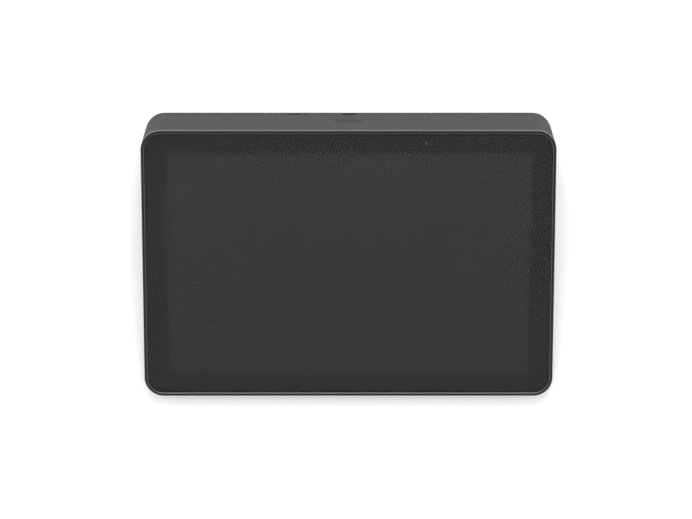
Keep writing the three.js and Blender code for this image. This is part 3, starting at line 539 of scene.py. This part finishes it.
def down_to(place, level):
    """How far below the face's plane, square to it, a level lies at this place on the outline."""
    start = face @ Vector((place[0], place[1], 0.0))
    return (level - start.z) / math.cos(TILT)


def wall_ring(inset, top_gap, bottom_gap, share):
    """A ring round the wall, share of the way up between its bottom and top edges."""
    ring = []
    for (x, y), base in zip(outline(inset), outline(0.0)):
        low = down_to(base, textile_low.z) + bottom_gap
        high = TEXTILE_TOP - top_gap
        ring.append(face @ Vector((x, y, low + (high - low) * share)))
    return ring


fold = TEXTILE_FOLD
inner = TEXTILE_THICKNESS
wrap_rings = [
    wall_ring(inner - fold, 0.0, 0.0, 0.0),
    wall_ring(fold, 0.0, 0.0, 0.0),
    wall_ring(fold * 0.3, 0.0, fold * 0.3, 0.0),
    wall_ring(0.0, 0.0, fold, 0.0),
    wall_ring(0.0, TEXTILE_TUCK, fold, 0.33),
    wall_ring(0.0, TEXTILE_TUCK, fold, 0.67),
    *[wall_ring(inset, TEXTILE_TUCK * share, 0.0, 1.0) for inset, share in TEXTILE_CURVE],
    wall_ring(inner - TEXTILE_EASE, 0.0, 0.0, 1.0),
    wall_ring(inner, TEXTILE_EASE, 0.0, 1.0),
    wall_ring(inner, 0.0, fold, 0.0),
]

knit, knit_in, knit_out = new_group(
    "knit",
    [
        ("Across", "NodeSocketFloat", 0.0),
        ("Up", "NodeSocketFloat", 0.0),
        ("Vector", "NodeSocketVector", None),
        ("Pitch", "NodeSocketFloat", 0.0017),
    ],
    [
        ("Height", "NodeSocketFloat"),
        ("Fibre", "NodeSocketFloat"),
    ],
)
wander = noise(knit, knit_in.outputs["Vector"], 90.0, 2.0)
wander = math_node(knit, "MULTIPLY", math_node(knit, "SUBTRACT", wander, 0.5), 0.0011)
waves = []
for label in ("Across", "Up"):
    moved = math_node(knit, "ADD", knit_in.outputs[label], wander)
    if label == "Up":
        moved = math_node(knit, "DIVIDE", moved, STITCH_STRETCH)
    turns = math_node(knit, "DIVIDE", moved, knit_in.outputs["Pitch"])
    waves.append(math_node(knit, "COSINE", math_node(knit, "MULTIPLY", turns, 2 * math.pi)))
lattice = math_node(knit, "MULTIPLY", math_node(knit, "MULTIPLY", waves[0], waves[1]), 0.38)
wales = math_node(knit, "MULTIPLY", waves[0], 0.14)
lattice = math_node(knit, "ADD", math_node(knit, "ADD", lattice, wales), 0.5, clamp=True)
fibres = noise(knit, knit_in.outputs["Vector"], 7000.0, 3.0, 0.7)
raised = math_node(knit, "ADD", lattice, math_node(knit, "MULTIPLY", fibres, 0.3))
knit.links.new(raised, knit_out.inputs["Height"])
knit.links.new(fibres, knit_out.inputs["Fibre"])

textile_material, textile_tree, textile_shader = new_material("charcoal knit")
knit_node = textile_tree.nodes.new("ShaderNodeGroup")
knit_node.node_tree = knit
knit_node.inputs["Pitch"].default_value = KNIT_PITCH
cloth_uv = textile_tree.nodes.new("ShaderNodeUVMap")
cloth_uv.uv_map = "cloth"
cloth_split = textile_tree.nodes.new("ShaderNodeSeparateXYZ")
textile_tree.links.new(cloth_uv.outputs["UV"], cloth_split.inputs["Vector"])
textile_tree.links.new(cloth_split.outputs["X"], knit_node.inputs["Across"])
textile_tree.links.new(cloth_split.outputs["Y"], knit_node.inputs["Up"])
textile_tree.links.new(object_places(textile_tree), knit_node.inputs["Vector"])
knit_shade = math_node(textile_tree, "ADD", math_node(
    textile_tree, "MULTIPLY", knit_node.outputs["Height"], 0.6), math_node(
    textile_tree, "MULTIPLY", knit_node.outputs["Fibre"], 0.35), clamp=True)
textile_tree.links.new(
    blend_colours(textile_tree, knit_shade, (0.002, 0.002, 0.0022, 1.0), (0.06, 0.06, 0.0615, 1.0)),
    textile_shader.inputs["Base Color"],
)
textile_tree.links.new(
    spread(textile_tree, knit_node.outputs["Fibre"], 0.75, 0.98), textile_shader.inputs["Roughness"]
)
textile_shader.inputs["Sheen Weight"].default_value = 0.05
textile_shader.inputs["Sheen Roughness"].default_value = 0.4
textile_shader.inputs["Specular IOR Level"].default_value = 0.15
cloth_bump = textile_tree.nodes.new("ShaderNodeBump")
cloth_bump.inputs["Distance"].default_value = 0.0004
textile_tree.links.new(knit_node.outputs["Height"], cloth_bump.inputs["Height"])
textile_tree.links.new(cloth_bump.outputs["Normal"], textile_shader.inputs["Normal"])

wrap_points, wrap_faces = skin(wrap_rings, close=True)
wrap = add_mesh("knit_wrap", wrap_points, wrap_faces, textile_material, "device")

# The cloth's own coordinates in metres: how far round from the middle of the front, and how far
# up from the bottom edge.
outside = outline(0.0)
ring_size = len(outside)
along = [0.0]
for start, end in zip(outside, outside[1:] + outside[:1]):
    along.append(along[-1] + math.dist(start, end))
wrap_uv = wrap.data.uv_layers.new(name="cloth")
for polygon in wrap.data.polygons:
    columns = [wrap.data.loops[i].vertex_index % ring_size for i in polygon.loop_indices]
    seam = max(columns) - min(columns) > 1
    for loop_index, column in zip(polygon.loop_indices, columns):
        local = face.inverted() @ wrap.data.vertices[wrap.data.loops[loop_index].vertex_index].co
        across = along[-1] if seam and column == 0 else along[column]
        wrap_uv.data[loop_index].uv = (across, local.z - TEXTILE_TOP)
outward(wrap)
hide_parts("textile_wrap")


def cut_out(piece, *cutters):
    """Cuts closed shapes out of a piece, each as (points, faces)."""
    for points, faces in cutters:
        mesh = bpy.data.meshes.new("cutter")
        mesh.from_pydata([tuple(point) for point in points], [], faces)
        cutter = bpy.data.objects.new("cutter", mesh)
        scene.collection.objects.link(cutter)
        outward(cutter)
        cut = piece.modifiers.new("opening", "BOOLEAN")
        cut.operation = "DIFFERENCE"
        cut.solver = "EXACT"
        cut.object = cutter
        bpy.context.view_layer.update()
        seen = piece.evaluated_get(bpy.context.evaluated_depsgraph_get())
        result = bpy.data.meshes.new_from_object(seen)
        piece.modifiers.clear()
        bpy.data.objects.remove(cutter)
        old = piece.data
        piece.data = result
        bpy.data.meshes.remove(old)


def stadium(across, high, turn_steps=14):
    """Points round a shape with round ends, lying across, anticlockwise from its right end."""
    radius = high / 2
    middle = across / 2 - radius
    points = []
    for side, start in ((1, -90), (-1, 90)):
        for step in range(turn_steps + 1):
            angle = math.radians(start + 180.0 * step / turn_steps)
            points.append((side * middle + radius * math.cos(angle), radius * math.sin(angle)))
    return points


def wall_prism(shape, x, z, near, far):
    """A straight cutter along the rear wall's own depth, square to the lean of the wall."""
    rings = []
    for depth in (near, far):
        rings.append([Vector((x + px, depth, z + pz)) for px, pz in shape])
    return skin(rings, caps=True)


badge_low, badge_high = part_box("badge_plate")
badge_middle = (badge_low + badge_high) / 2
button_low, button_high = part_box("reset_button")
button_middle = (button_low + button_high) / 2
LOCK_SLOT = (-0.033, 0.0054, 0.007, 0.003)
OUTLET = (0.0085, 0.0039)
BADGE_SIZE = (0.016, 0.007)
BADGE_GAP = 0.0003
rear_in = textile_high.y - 0.014
rear_out = textile_high.y + 0.004
badge_hole = [
    (x, z) for x, z in stadium(BADGE_SIZE[0] + 2 * BADGE_GAP, BADGE_SIZE[1] + 2 * BADGE_GAP)
]
lock_hole = stadium(LOCK_SLOT[2] + 0.001, LOCK_SLOT[3] + 0.001)
button_hole = stadium(0.0028, 0.0028)
outlet_half = OUTLET[0] / 2
outlet_hole = [
    (outlet_half, -0.01), (outlet_half, OUTLET[1]), (-outlet_half, OUTLET[1]), (-outlet_half, -0.01),
]
cut_out(
    wrap,
    wall_prism(badge_hole, 0.0, badge_middle.z, rear_in, rear_out),
    wall_prism(lock_hole, LOCK_SLOT[0], LOCK_SLOT[1], rear_in, rear_out),
    wall_prism(button_hole, button_middle.x, button_middle.z, rear_in, rear_out),
    wall_prism(outlet_hole, 0.0, textile_low.z, rear_in, rear_out),
)


# Base plate: the moulded tray that closes the underside, in charcoal plastic with a coarser
# matt grain, its edges eased where it left the mould.
EASE = 0.00035
base_material = moulded(
    "matt base plastic", (0.02, 0.02, 0.0206), (0.038, 0.038, 0.0388), 0.62, 0.2, 3200.0, 0.00004,
    shine=0.2,
)


def eased(name, node, material, width, body="device", segments=2, angle=32.0):
    """A piece made from a CAD node's own shape, with its flat faces joined and its edges rounded."""
    shape = bmesh.new()
    shape.from_mesh(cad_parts[node].data)
    bmesh.ops.remove_doubles(shape, verts=shape.verts, dist=0.000004)
    bmesh.ops.dissolve_limit(
        shape, angle_limit=math.radians(1.0), verts=shape.verts, edges=shape.edges
    )
    bmesh.ops.recalc_face_normals(shape, faces=shape.faces)
    mesh = bpy.data.meshes.new(name)
    shape.to_mesh(mesh)
    shape.free()
    mesh.materials.append(material)
    mesh.polygons.foreach_set("use_smooth", [True] * len(mesh.polygons))
    piece = bpy.data.objects.new(name, mesh)
    scene.collection.objects.link(piece)
    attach(piece, body)
    rounding = piece.modifiers.new("eased edges", "BEVEL")
    rounding.width = width
    rounding.segments = segments
    rounding.limit_method = "ANGLE"
    rounding.angle_limit = math.radians(angle)
    rounding.use_clamp_overlap = True
    rounding.harden_normals = False
    mesh.set_sharp_from_angle(angle=math.radians(30.0))
    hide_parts(node)
    return piece


base = eased("base_moulding", "base_plate", base_material, EASE)
cover = eased("bay_lid", "bay_cover", base_material, 0.0002, "bay_cover")
for name, node in (("clamp_bar", "cable_clamp"), ("clamp_seat", "cable_saddle")):
    clamp = eased(name, node, base_material, 0.0003)


# Grip on the bay's lid: half-round ribs moulded across the thumb recess, so that the lid slides
# when a finger presses on them.
RIBS = 6
RIB_PITCH = 0.0012
RIB_LENGTH = 0.016
RIB_RADIUS = 0.0004
GRIP_FROM_REAR = 0.026
GRIP_DEPTH = 0.0007

ribbed = bpy.data.node_groups.new("grip ribs", "GeometryNodeTree")
ribbed.interface.new_socket("Middle", in_out="INPUT", socket_type="NodeSocketGeometry")
ribbed.interface.new_socket("Ribs", in_out="INPUT", socket_type="NodeSocketInt")
ribbed.interface.new_socket("Pitch", in_out="INPUT", socket_type="NodeSocketFloat")
ribbed.interface.new_socket("Length", in_out="INPUT", socket_type="NodeSocketFloat")
ribbed.interface.new_socket("Radius", in_out="INPUT", socket_type="NodeSocketFloat")
ribbed.interface.new_socket("Finish", in_out="INPUT", socket_type="NodeSocketMaterial")
ribbed.interface.new_socket("Grip", in_out="OUTPUT", socket_type="NodeSocketGeometry")
ribbed_in = ribbed.nodes.new("NodeGroupInput")
ribbed_out = ribbed.nodes.new("NodeGroupOutput")
rib_line = ribbed.nodes.new("GeometryNodeCurvePrimitiveLine")
rib_start = ribbed.nodes.new("ShaderNodeCombineXYZ")
rib_end = ribbed.nodes.new("ShaderNodeCombineXYZ")
rib_half = ribbed.nodes.new("ShaderNodeMath")
rib_half.operation = "MULTIPLY"
rib_half.inputs[1].default_value = 0.5
rib_back = ribbed.nodes.new("ShaderNodeMath")
rib_back.operation = "MULTIPLY"
rib_back.inputs[1].default_value = -0.5
rib_round = ribbed.nodes.new("GeometryNodeCurvePrimitiveCircle")
rib_round.inputs["Resolution"].default_value = 16
rib_body = ribbed.nodes.new("GeometryNodeCurveToMesh")
rib_body.inputs["Fill Caps"].default_value = True
rib_row = ribbed.nodes.new("GeometryNodeMeshLine")
rib_step = ribbed.nodes.new("ShaderNodeCombineXYZ")
rib_set = ribbed.nodes.new("GeometryNodeInstanceOnPoints")
rib_place = ribbed.nodes.new("GeometryNodeInstanceOnPoints")
rib_real = ribbed.nodes.new("GeometryNodeRealizeInstances")
rib_finish = ribbed.nodes.new("GeometryNodeSetMaterial")
for source, sink in (
    (ribbed_in.outputs["Length"], rib_half.inputs[0]),
    (ribbed_in.outputs["Length"], rib_back.inputs[0]),
    (rib_back.outputs[0], rib_start.inputs["X"]),
    (rib_half.outputs[0], rib_end.inputs["X"]),
    (rib_start.outputs[0], rib_line.inputs["Start"]),
    (rib_end.outputs[0], rib_line.inputs["End"]),
    (ribbed_in.outputs["Radius"], rib_round.inputs["Radius"]),
    (rib_line.outputs["Curve"], rib_body.inputs["Curve"]),
    (rib_round.outputs["Curve"], rib_body.inputs["Profile Curve"]),
    (ribbed_in.outputs["Ribs"], rib_row.inputs["Count"]),
    (ribbed_in.outputs["Pitch"], rib_step.inputs["Y"]),
    (rib_step.outputs[0], rib_row.inputs["Offset"]),
    (rib_row.outputs["Mesh"], rib_set.inputs["Points"]),
    (rib_body.outputs["Mesh"], rib_set.inputs["Instance"]),
    (ribbed_in.outputs["Middle"], rib_place.inputs["Points"]),
    (rib_set.outputs["Instances"], rib_place.inputs["Instance"]),
    (rib_place.outputs["Instances"], rib_real.inputs["Geometry"]),
    (rib_real.outputs["Geometry"], rib_finish.inputs["Geometry"]),
    (ribbed_in.outputs["Finish"], rib_finish.inputs["Material"]),
    (rib_finish.outputs["Geometry"], ribbed_out.inputs["Grip"]),
):
    ribbed.links.new(source, sink)


def grown(name, points, tree, body, attributes=(), **inputs):
    """Runs a node tree on loose points and keeps its result as a plain piece on a body."""
    mesh = bpy.data.meshes.new(name)
    mesh.from_pydata([tuple(point) for point in points], [], [])
    for label, values in attributes:
        layer = mesh.attributes.new(label, "FLOAT_VECTOR", "POINT")
        layer.data.foreach_set("vector", [number for value in values for number in value])
    piece = bpy.data.objects.new(name, mesh)
    scene.collection.objects.link(piece)
    maker = piece.modifiers.new(name, "NODES")
    maker.node_group = tree
    for item in tree.interface.items_tree:
        if item.item_type == "SOCKET" and item.in_out == "INPUT" and item.name in inputs:
            maker[item.identifier] = inputs[item.name]
    bpy.context.view_layer.update()
    seen = piece.evaluated_get(bpy.context.evaluated_depsgraph_get())
    piece.data = bpy.data.meshes.new_from_object(seen)
    piece.modifiers.clear()
    bpy.data.meshes.remove(mesh)
    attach(piece, body)
    return piece


cover_low, cover_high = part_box("bay_cover")
grip_start = Vector((
    0.0,
    cover_high.y - GRIP_FROM_REAR - RIB_PITCH * (RIBS - 1) / 2,
    cover_low.z + GRIP_DEPTH,
))
grip = grown(
    "lid_grip", [grip_start], ribbed, "bay_cover",
    Ribs=RIBS, Pitch=RIB_PITCH, Length=RIB_LENGTH, Radius=RIB_RADIUS, Finish=base_material,
)

shell_material = moulded(
    "shell plastic", (0.035, 0.035, 0.036), (0.055, 0.055, 0.056), 0.55, 0.15, 3000.0, 0.00003
)
repaint(shell_material, "housing_shell", "speaker_left", "speaker_right")


# Badge: a blank plate with rounded ends, moulded and softly crowned, pressed into the knit.
badge_material = moulded(
    "badge plastic", (0.024, 0.024, 0.0246), (0.034, 0.034, 0.0348), 0.62, 0.15, 4200.0, 0.00001,
    shine=0.08,
)
badge = eased("badge", "badge_plate", badge_material, 0.0003, segments=4)


# Reset button and lock plate: the button is turned from one piece of plastic with a dished end,
# and the lock's plate is stamped steel behind the knit.
button = eased("reset_pin", "reset_button", base_material, 0.00012, "reset_button")


# Feet: four moulded rubber pads with round ends, each in a shallow recess, with a rib round their
# edge, a groove and a second rib inside it, and a shallow hollow in their middle.
FOOT_EDGE = 0.0003
rubber_material = moulded(
    "foot rubber", (0.018, 0.018, 0.018), (0.034, 0.034, 0.033), 0.78, 0.12, 1800.0, 0.00006
)
for place in ("front_left", "front_right", "rear_left", "rear_right"):
    foot_low, foot_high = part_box(f"foot_{place}")
    foot_size = foot_high - foot_low
    foot_middle = (foot_low + foot_high) / 2
    foot_rings = []
    for shrink, height in (
        (0.0, foot_high.z),
        (0.0, foot_low.z + FOOT_EDGE),
        (FOOT_EDGE * 0.3, foot_low.z + FOOT_EDGE * 0.3),
        (FOOT_EDGE, foot_low.z),
        (0.0011, foot_low.z),
        (0.0014, foot_low.z + 0.0003),
        (0.002, foot_low.z + 0.0003),
        (0.0023, foot_low.z),
        (0.0032, foot_low.z),
        (0.0034, foot_low.z + 0.0002),
    ):
        shape = stadium(foot_size.x - 2 * shrink, foot_size.y - 2 * shrink)
        foot_rings.append(
            [Vector((foot_middle.x + x, foot_middle.y + y, height)) for x, y in shape]
        )
    foot = add_mesh(
        f"rubber_foot_{place}", *skin(foot_rings, caps=True), rubber_material, "device", flat=True
    )
    outward(foot)
    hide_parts(f"foot_{place}")


# Metal, boards and small parts inside: pressed steel with a brushed face, dark green boards with
# printed tracks, black connector plastic, cut foam and tape, and amber ribbons.
def brushed(name, colour, marked, roughness):
    """Bright metal with fine scratches in one direction and a slight bloom."""
    material, tree, shader = new_material(name)
    places = object_places(tree)
    lay = tree.nodes.new("ShaderNodeMapping")
    lay.inputs["Scale"].default_value = (60.0, 2600.0, 2600.0)
    tree.links.new(places, lay.inputs["Vector"])
    scratches = noise(tree, lay.outputs["Vector"], 1.0, 3.0, 0.6)
    bloom = noise(tree, places, 70.0, 3.0)
    share = math_node(tree, "ADD", math_node(tree, "MULTIPLY", scratches, 0.6), math_node(
        tree, "MULTIPLY", bloom, 0.4), clamp=True)
    tree.links.new(
        blend_colours(tree, share, (*colour, 1.0), (*marked, 1.0)), shader.inputs["Base Color"]
    )
    tree.links.new(spread(tree, share, roughness, roughness + 0.2), shader.inputs["Roughness"])
    shader.inputs["Metallic"].default_value = 1.0
    return material


sheet_metal = brushed("zinc-plated sheet steel", (0.42, 0.42, 0.41), (0.6, 0.6, 0.58), 0.32)
screw_metal = brushed("black-plated screw steel", (0.06, 0.06, 0.062), (0.14, 0.14, 0.145), 0.3)
sink_metal = brushed("black anodised aluminium", (0.035, 0.035, 0.036), (0.09, 0.09, 0.092), 0.34)
repaint(sheet_metal, "backlight_tray", "display_chassis", "processor_shield", "lock_plate")
repaint(sheet_metal, "wireless_module", "network_socket", "usb_socket")
repaint(sink_metal, "heat_sink")
connector_plastic = moulded(
    "connector plastic", (0.02, 0.02, 0.02), (0.045, 0.045, 0.045), 0.45, 0.15, 2400.0, 0.00002
)
repaint(connector_plastic, "power_module", "display_connector", "reset_switch", "light_sensor")
foam_material = moulded(
    "black cell foam", (0.016, 0.016, 0.016), (0.06, 0.06, 0.06), 0.95, 0.05, 1500.0, 0.0003
)
repaint(foam_material, "display_foam", "sensor_foam")
tape_material = moulded(
    "black double-sided tape", (0.014, 0.014, 0.014), (0.03, 0.03, 0.03), 0.5, 0.3, 900.0, 0.00002
)
repaint(tape_material, "glass_tape", "rim_tape")

board_material, board_tree, board_shader = new_material("solder-masked board")
board_tiles = board_tree.nodes.new("ShaderNodeTexBrick")
board_tiles.inputs["Scale"].default_value = 300.0
board_tiles.inputs["Mortar Size"].default_value = 0.12
board_tiles.inputs["Color1"].default_value = (0.012, 0.035, 0.03, 1.0)
board_tiles.inputs["Color2"].default_value = (0.016, 0.05, 0.04, 1.0)
board_tiles.inputs["Mortar"].default_value = (0.03, 0.085, 0.065, 1.0)
board_places = object_places(board_tree)
board_tree.links.new(board_places, board_tiles.inputs["Vector"])
board_tree.links.new(board_tiles.outputs["Color"], board_shader.inputs["Base Color"])
board_gloss = noise(board_tree, board_places, 240.0, 2.0)
board_tree.links.new(spread(board_tree, board_gloss, 0.25, 0.4), board_shader.inputs["Roughness"])
repaint(board_material, "main_board", "sensor_board", "reset_board", "antenna_left", "antenna_right")

flex_material, flex_tree, flex_shader = new_material("amber ribbon")
flex_lines = flex_tree.nodes.new("ShaderNodeTexWave")
flex_lines.inputs["Scale"].default_value = 420.0
flex_tree.links.new(object_places(flex_tree), flex_lines.inputs["Vector"])
flex_tree.links.new(
    blend_colours(
        flex_tree, flex_lines.outputs["Fac"], (0.2, 0.07, 0.015, 1.0), (0.36, 0.15, 0.05, 1.0)
    ),
    flex_shader.inputs["Base Color"],
)
flex_tree.links.new(
    spread(flex_tree, flex_lines.outputs["Fac"], 0.3, 0.42), flex_shader.inputs["Roughness"]
)
repaint(flex_material, "display_ribbon", "touch_ribbon")


# Screws: black-plated steel with a flat head, a six-lobed drive and a turned edge, each stopped
# at its own angle as it was driven.
DRIVE_LOBES = 6
DRIVE_STEPS = 48


def screw_shape(name, head, head_height, shank, length):
    """One screw with its head's seat at the origin, pointing down its own z axis."""
    def ring(radius, height, wave=0.0):
        points = []
        for i in range(DRIVE_STEPS):
            angle = 2 * math.pi * i / DRIVE_STEPS
            reach = radius * (1.0 + wave * math.cos(DRIVE_LOBES * angle))
            points.append(Vector((reach * math.cos(angle), reach * math.sin(angle), height)))
        return points

    drive = head * 0.42
    rings = [
        ring(shank * 0.75, -length),
        ring(shank, -length + shank * 0.4),
        ring(shank, 0.0),
        ring(head - 0.0001, 0.0),
        ring(head, 0.0001),
        ring(head, head_height - 0.0002),
        ring(head - 0.00006, head_height - 0.00006),
        ring(head - 0.0002, head_height),
        ring(drive + 0.0001, head_height, 0.14),
        ring(drive, head_height - 0.0001, 0.14),
        ring(drive * 0.94, head_height * 0.35, 0.14),
    ]
    piece = add_mesh(name, *skin(rings, caps=True), screw_metal, flat=True)
    return outward(piece)


driven = bpy.data.node_groups.new("driven screws", "GeometryNodeTree")
driven.interface.new_socket("Places", in_out="INPUT", socket_type="NodeSocketGeometry")
driven.interface.new_socket("Screw", in_out="INPUT", socket_type="NodeSocketObject")
driven.interface.new_socket("Finish", in_out="INPUT", socket_type="NodeSocketMaterial")
driven.interface.new_socket("Seed", in_out="INPUT", socket_type="NodeSocketInt")
driven.interface.new_socket("Screws", in_out="OUTPUT", socket_type="NodeSocketGeometry")
driven_in = driven.nodes.new("NodeGroupInput")
driven_out = driven.nodes.new("NodeGroupOutput")
screw_info = driven.nodes.new("GeometryNodeObjectInfo")
screw_aim = driven.nodes.new("GeometryNodeInputNamedAttribute")
screw_aim.data_type = "FLOAT_VECTOR"
screw_aim.inputs["Name"].default_value = "aim"
screw_turn = driven.nodes.new("FunctionNodeRandomValue")
screw_turn.data_type = "FLOAT_VECTOR"
screw_turn.inputs[0].default_value = (0.0, 0.0, 0.0)
screw_turn.inputs[1].default_value = (0.0, 0.0, math.pi)
screw_align = driven.nodes.new("FunctionNodeAlignRotationToVector")
screw_align.axis = "Z"
screw_set = driven.nodes.new("GeometryNodeInstanceOnPoints")
screw_spin = driven.nodes.new("GeometryNodeRotateInstances")
screw_real = driven.nodes.new("GeometryNodeRealizeInstances")
screw_finish = driven.nodes.new("GeometryNodeSetMaterial")
for source, sink in (
    (driven_in.outputs["Screw"], screw_info.inputs["Object"]),
    (driven_in.outputs["Seed"], screw_turn.inputs["Seed"]),
    (driven_in.outputs["Finish"], screw_finish.inputs["Material"]),
    (driven_in.outputs["Places"], screw_set.inputs["Points"]),
    (screw_info.outputs["Geometry"], screw_set.inputs["Instance"]),
    (screw_aim.outputs["Attribute"], screw_align.inputs["Vector"]),
    (screw_align.outputs["Rotation"], screw_set.inputs["Rotation"]),
    (screw_set.outputs["Instances"], screw_spin.inputs["Instances"]),
    (screw_turn.outputs["Value"], screw_spin.inputs["Rotation"]),
    (screw_spin.outputs["Instances"], screw_real.inputs["Geometry"]),
    (screw_real.outputs["Geometry"], screw_finish.inputs["Geometry"]),
    (screw_finish.outputs["Geometry"], driven_out.inputs["Screws"]),
):
    driven.links.new(source, sink)


HEAD_SIZES = {"housing": (0.0027, 0.001, 0.0015), "small": (0.0019, 0.0008, 0.001)}
UP = Vector((0.0, 0.0, 1.0))
DOWN = Vector((0.0, 0.0, -1.0))
SLOPE_UP = Vector((0.0, -math.sin(TILT), math.cos(TILT)))
screw_sets = [
    ("screws_front", "housing", DOWN, ["housing_screw_front_left", "housing_screw_front_right"]),
    (
        "screws_rear",
        "housing",
        DOWN,
        [f"housing_screw_{row}_{side}" for row in ("middle", "rear") for side in ("left", "right")],
    ),
    (
        "screws_chassis",
        "small",
        SLOPE_UP,
        [f"chassis_screw_{row}_{side}" for row in ("front", "rear") for side in ("left", "right")],
    ),
    (
        "screws_board",
        "small",
        UP,
        [f"board_screw_{row}_{side}" for row in ("front", "rear") for side in ("left", "right")],
    ),
    ("screws_clamp", "small", DOWN, ["clamp_screw_left", "clamp_screw_right"]),
]
for number, (name, kind, aim, nodes) in enumerate(screw_sets):
    head, head_height, shank = HEAD_SIZES[kind]
    seats = []
    for node in nodes:
        corners = [vertex.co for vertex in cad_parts[node].data.vertices]
        top = max(corner.dot(aim) for corner in corners)
        middle = (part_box(node)[0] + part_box(node)[1]) / 2
        seats.append(middle + aim * (top - head_height - middle.dot(aim)))
        long = top - min(corner.dot(aim) for corner in corners) - head_height
    pattern = screw_shape(f"{name}_pattern", head, head_height, shank, long)
    screws = grown(
        name, seats, driven, "device", [("aim", [aim] * len(seats))],
        Screw=pattern, Finish=screw_metal, Seed=number + 3,
    )
    bpy.data.objects.remove(pattern)
    screws.data.polygons.foreach_set("use_smooth", [False] * len(screws.data.polygons))
    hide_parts(*nodes)
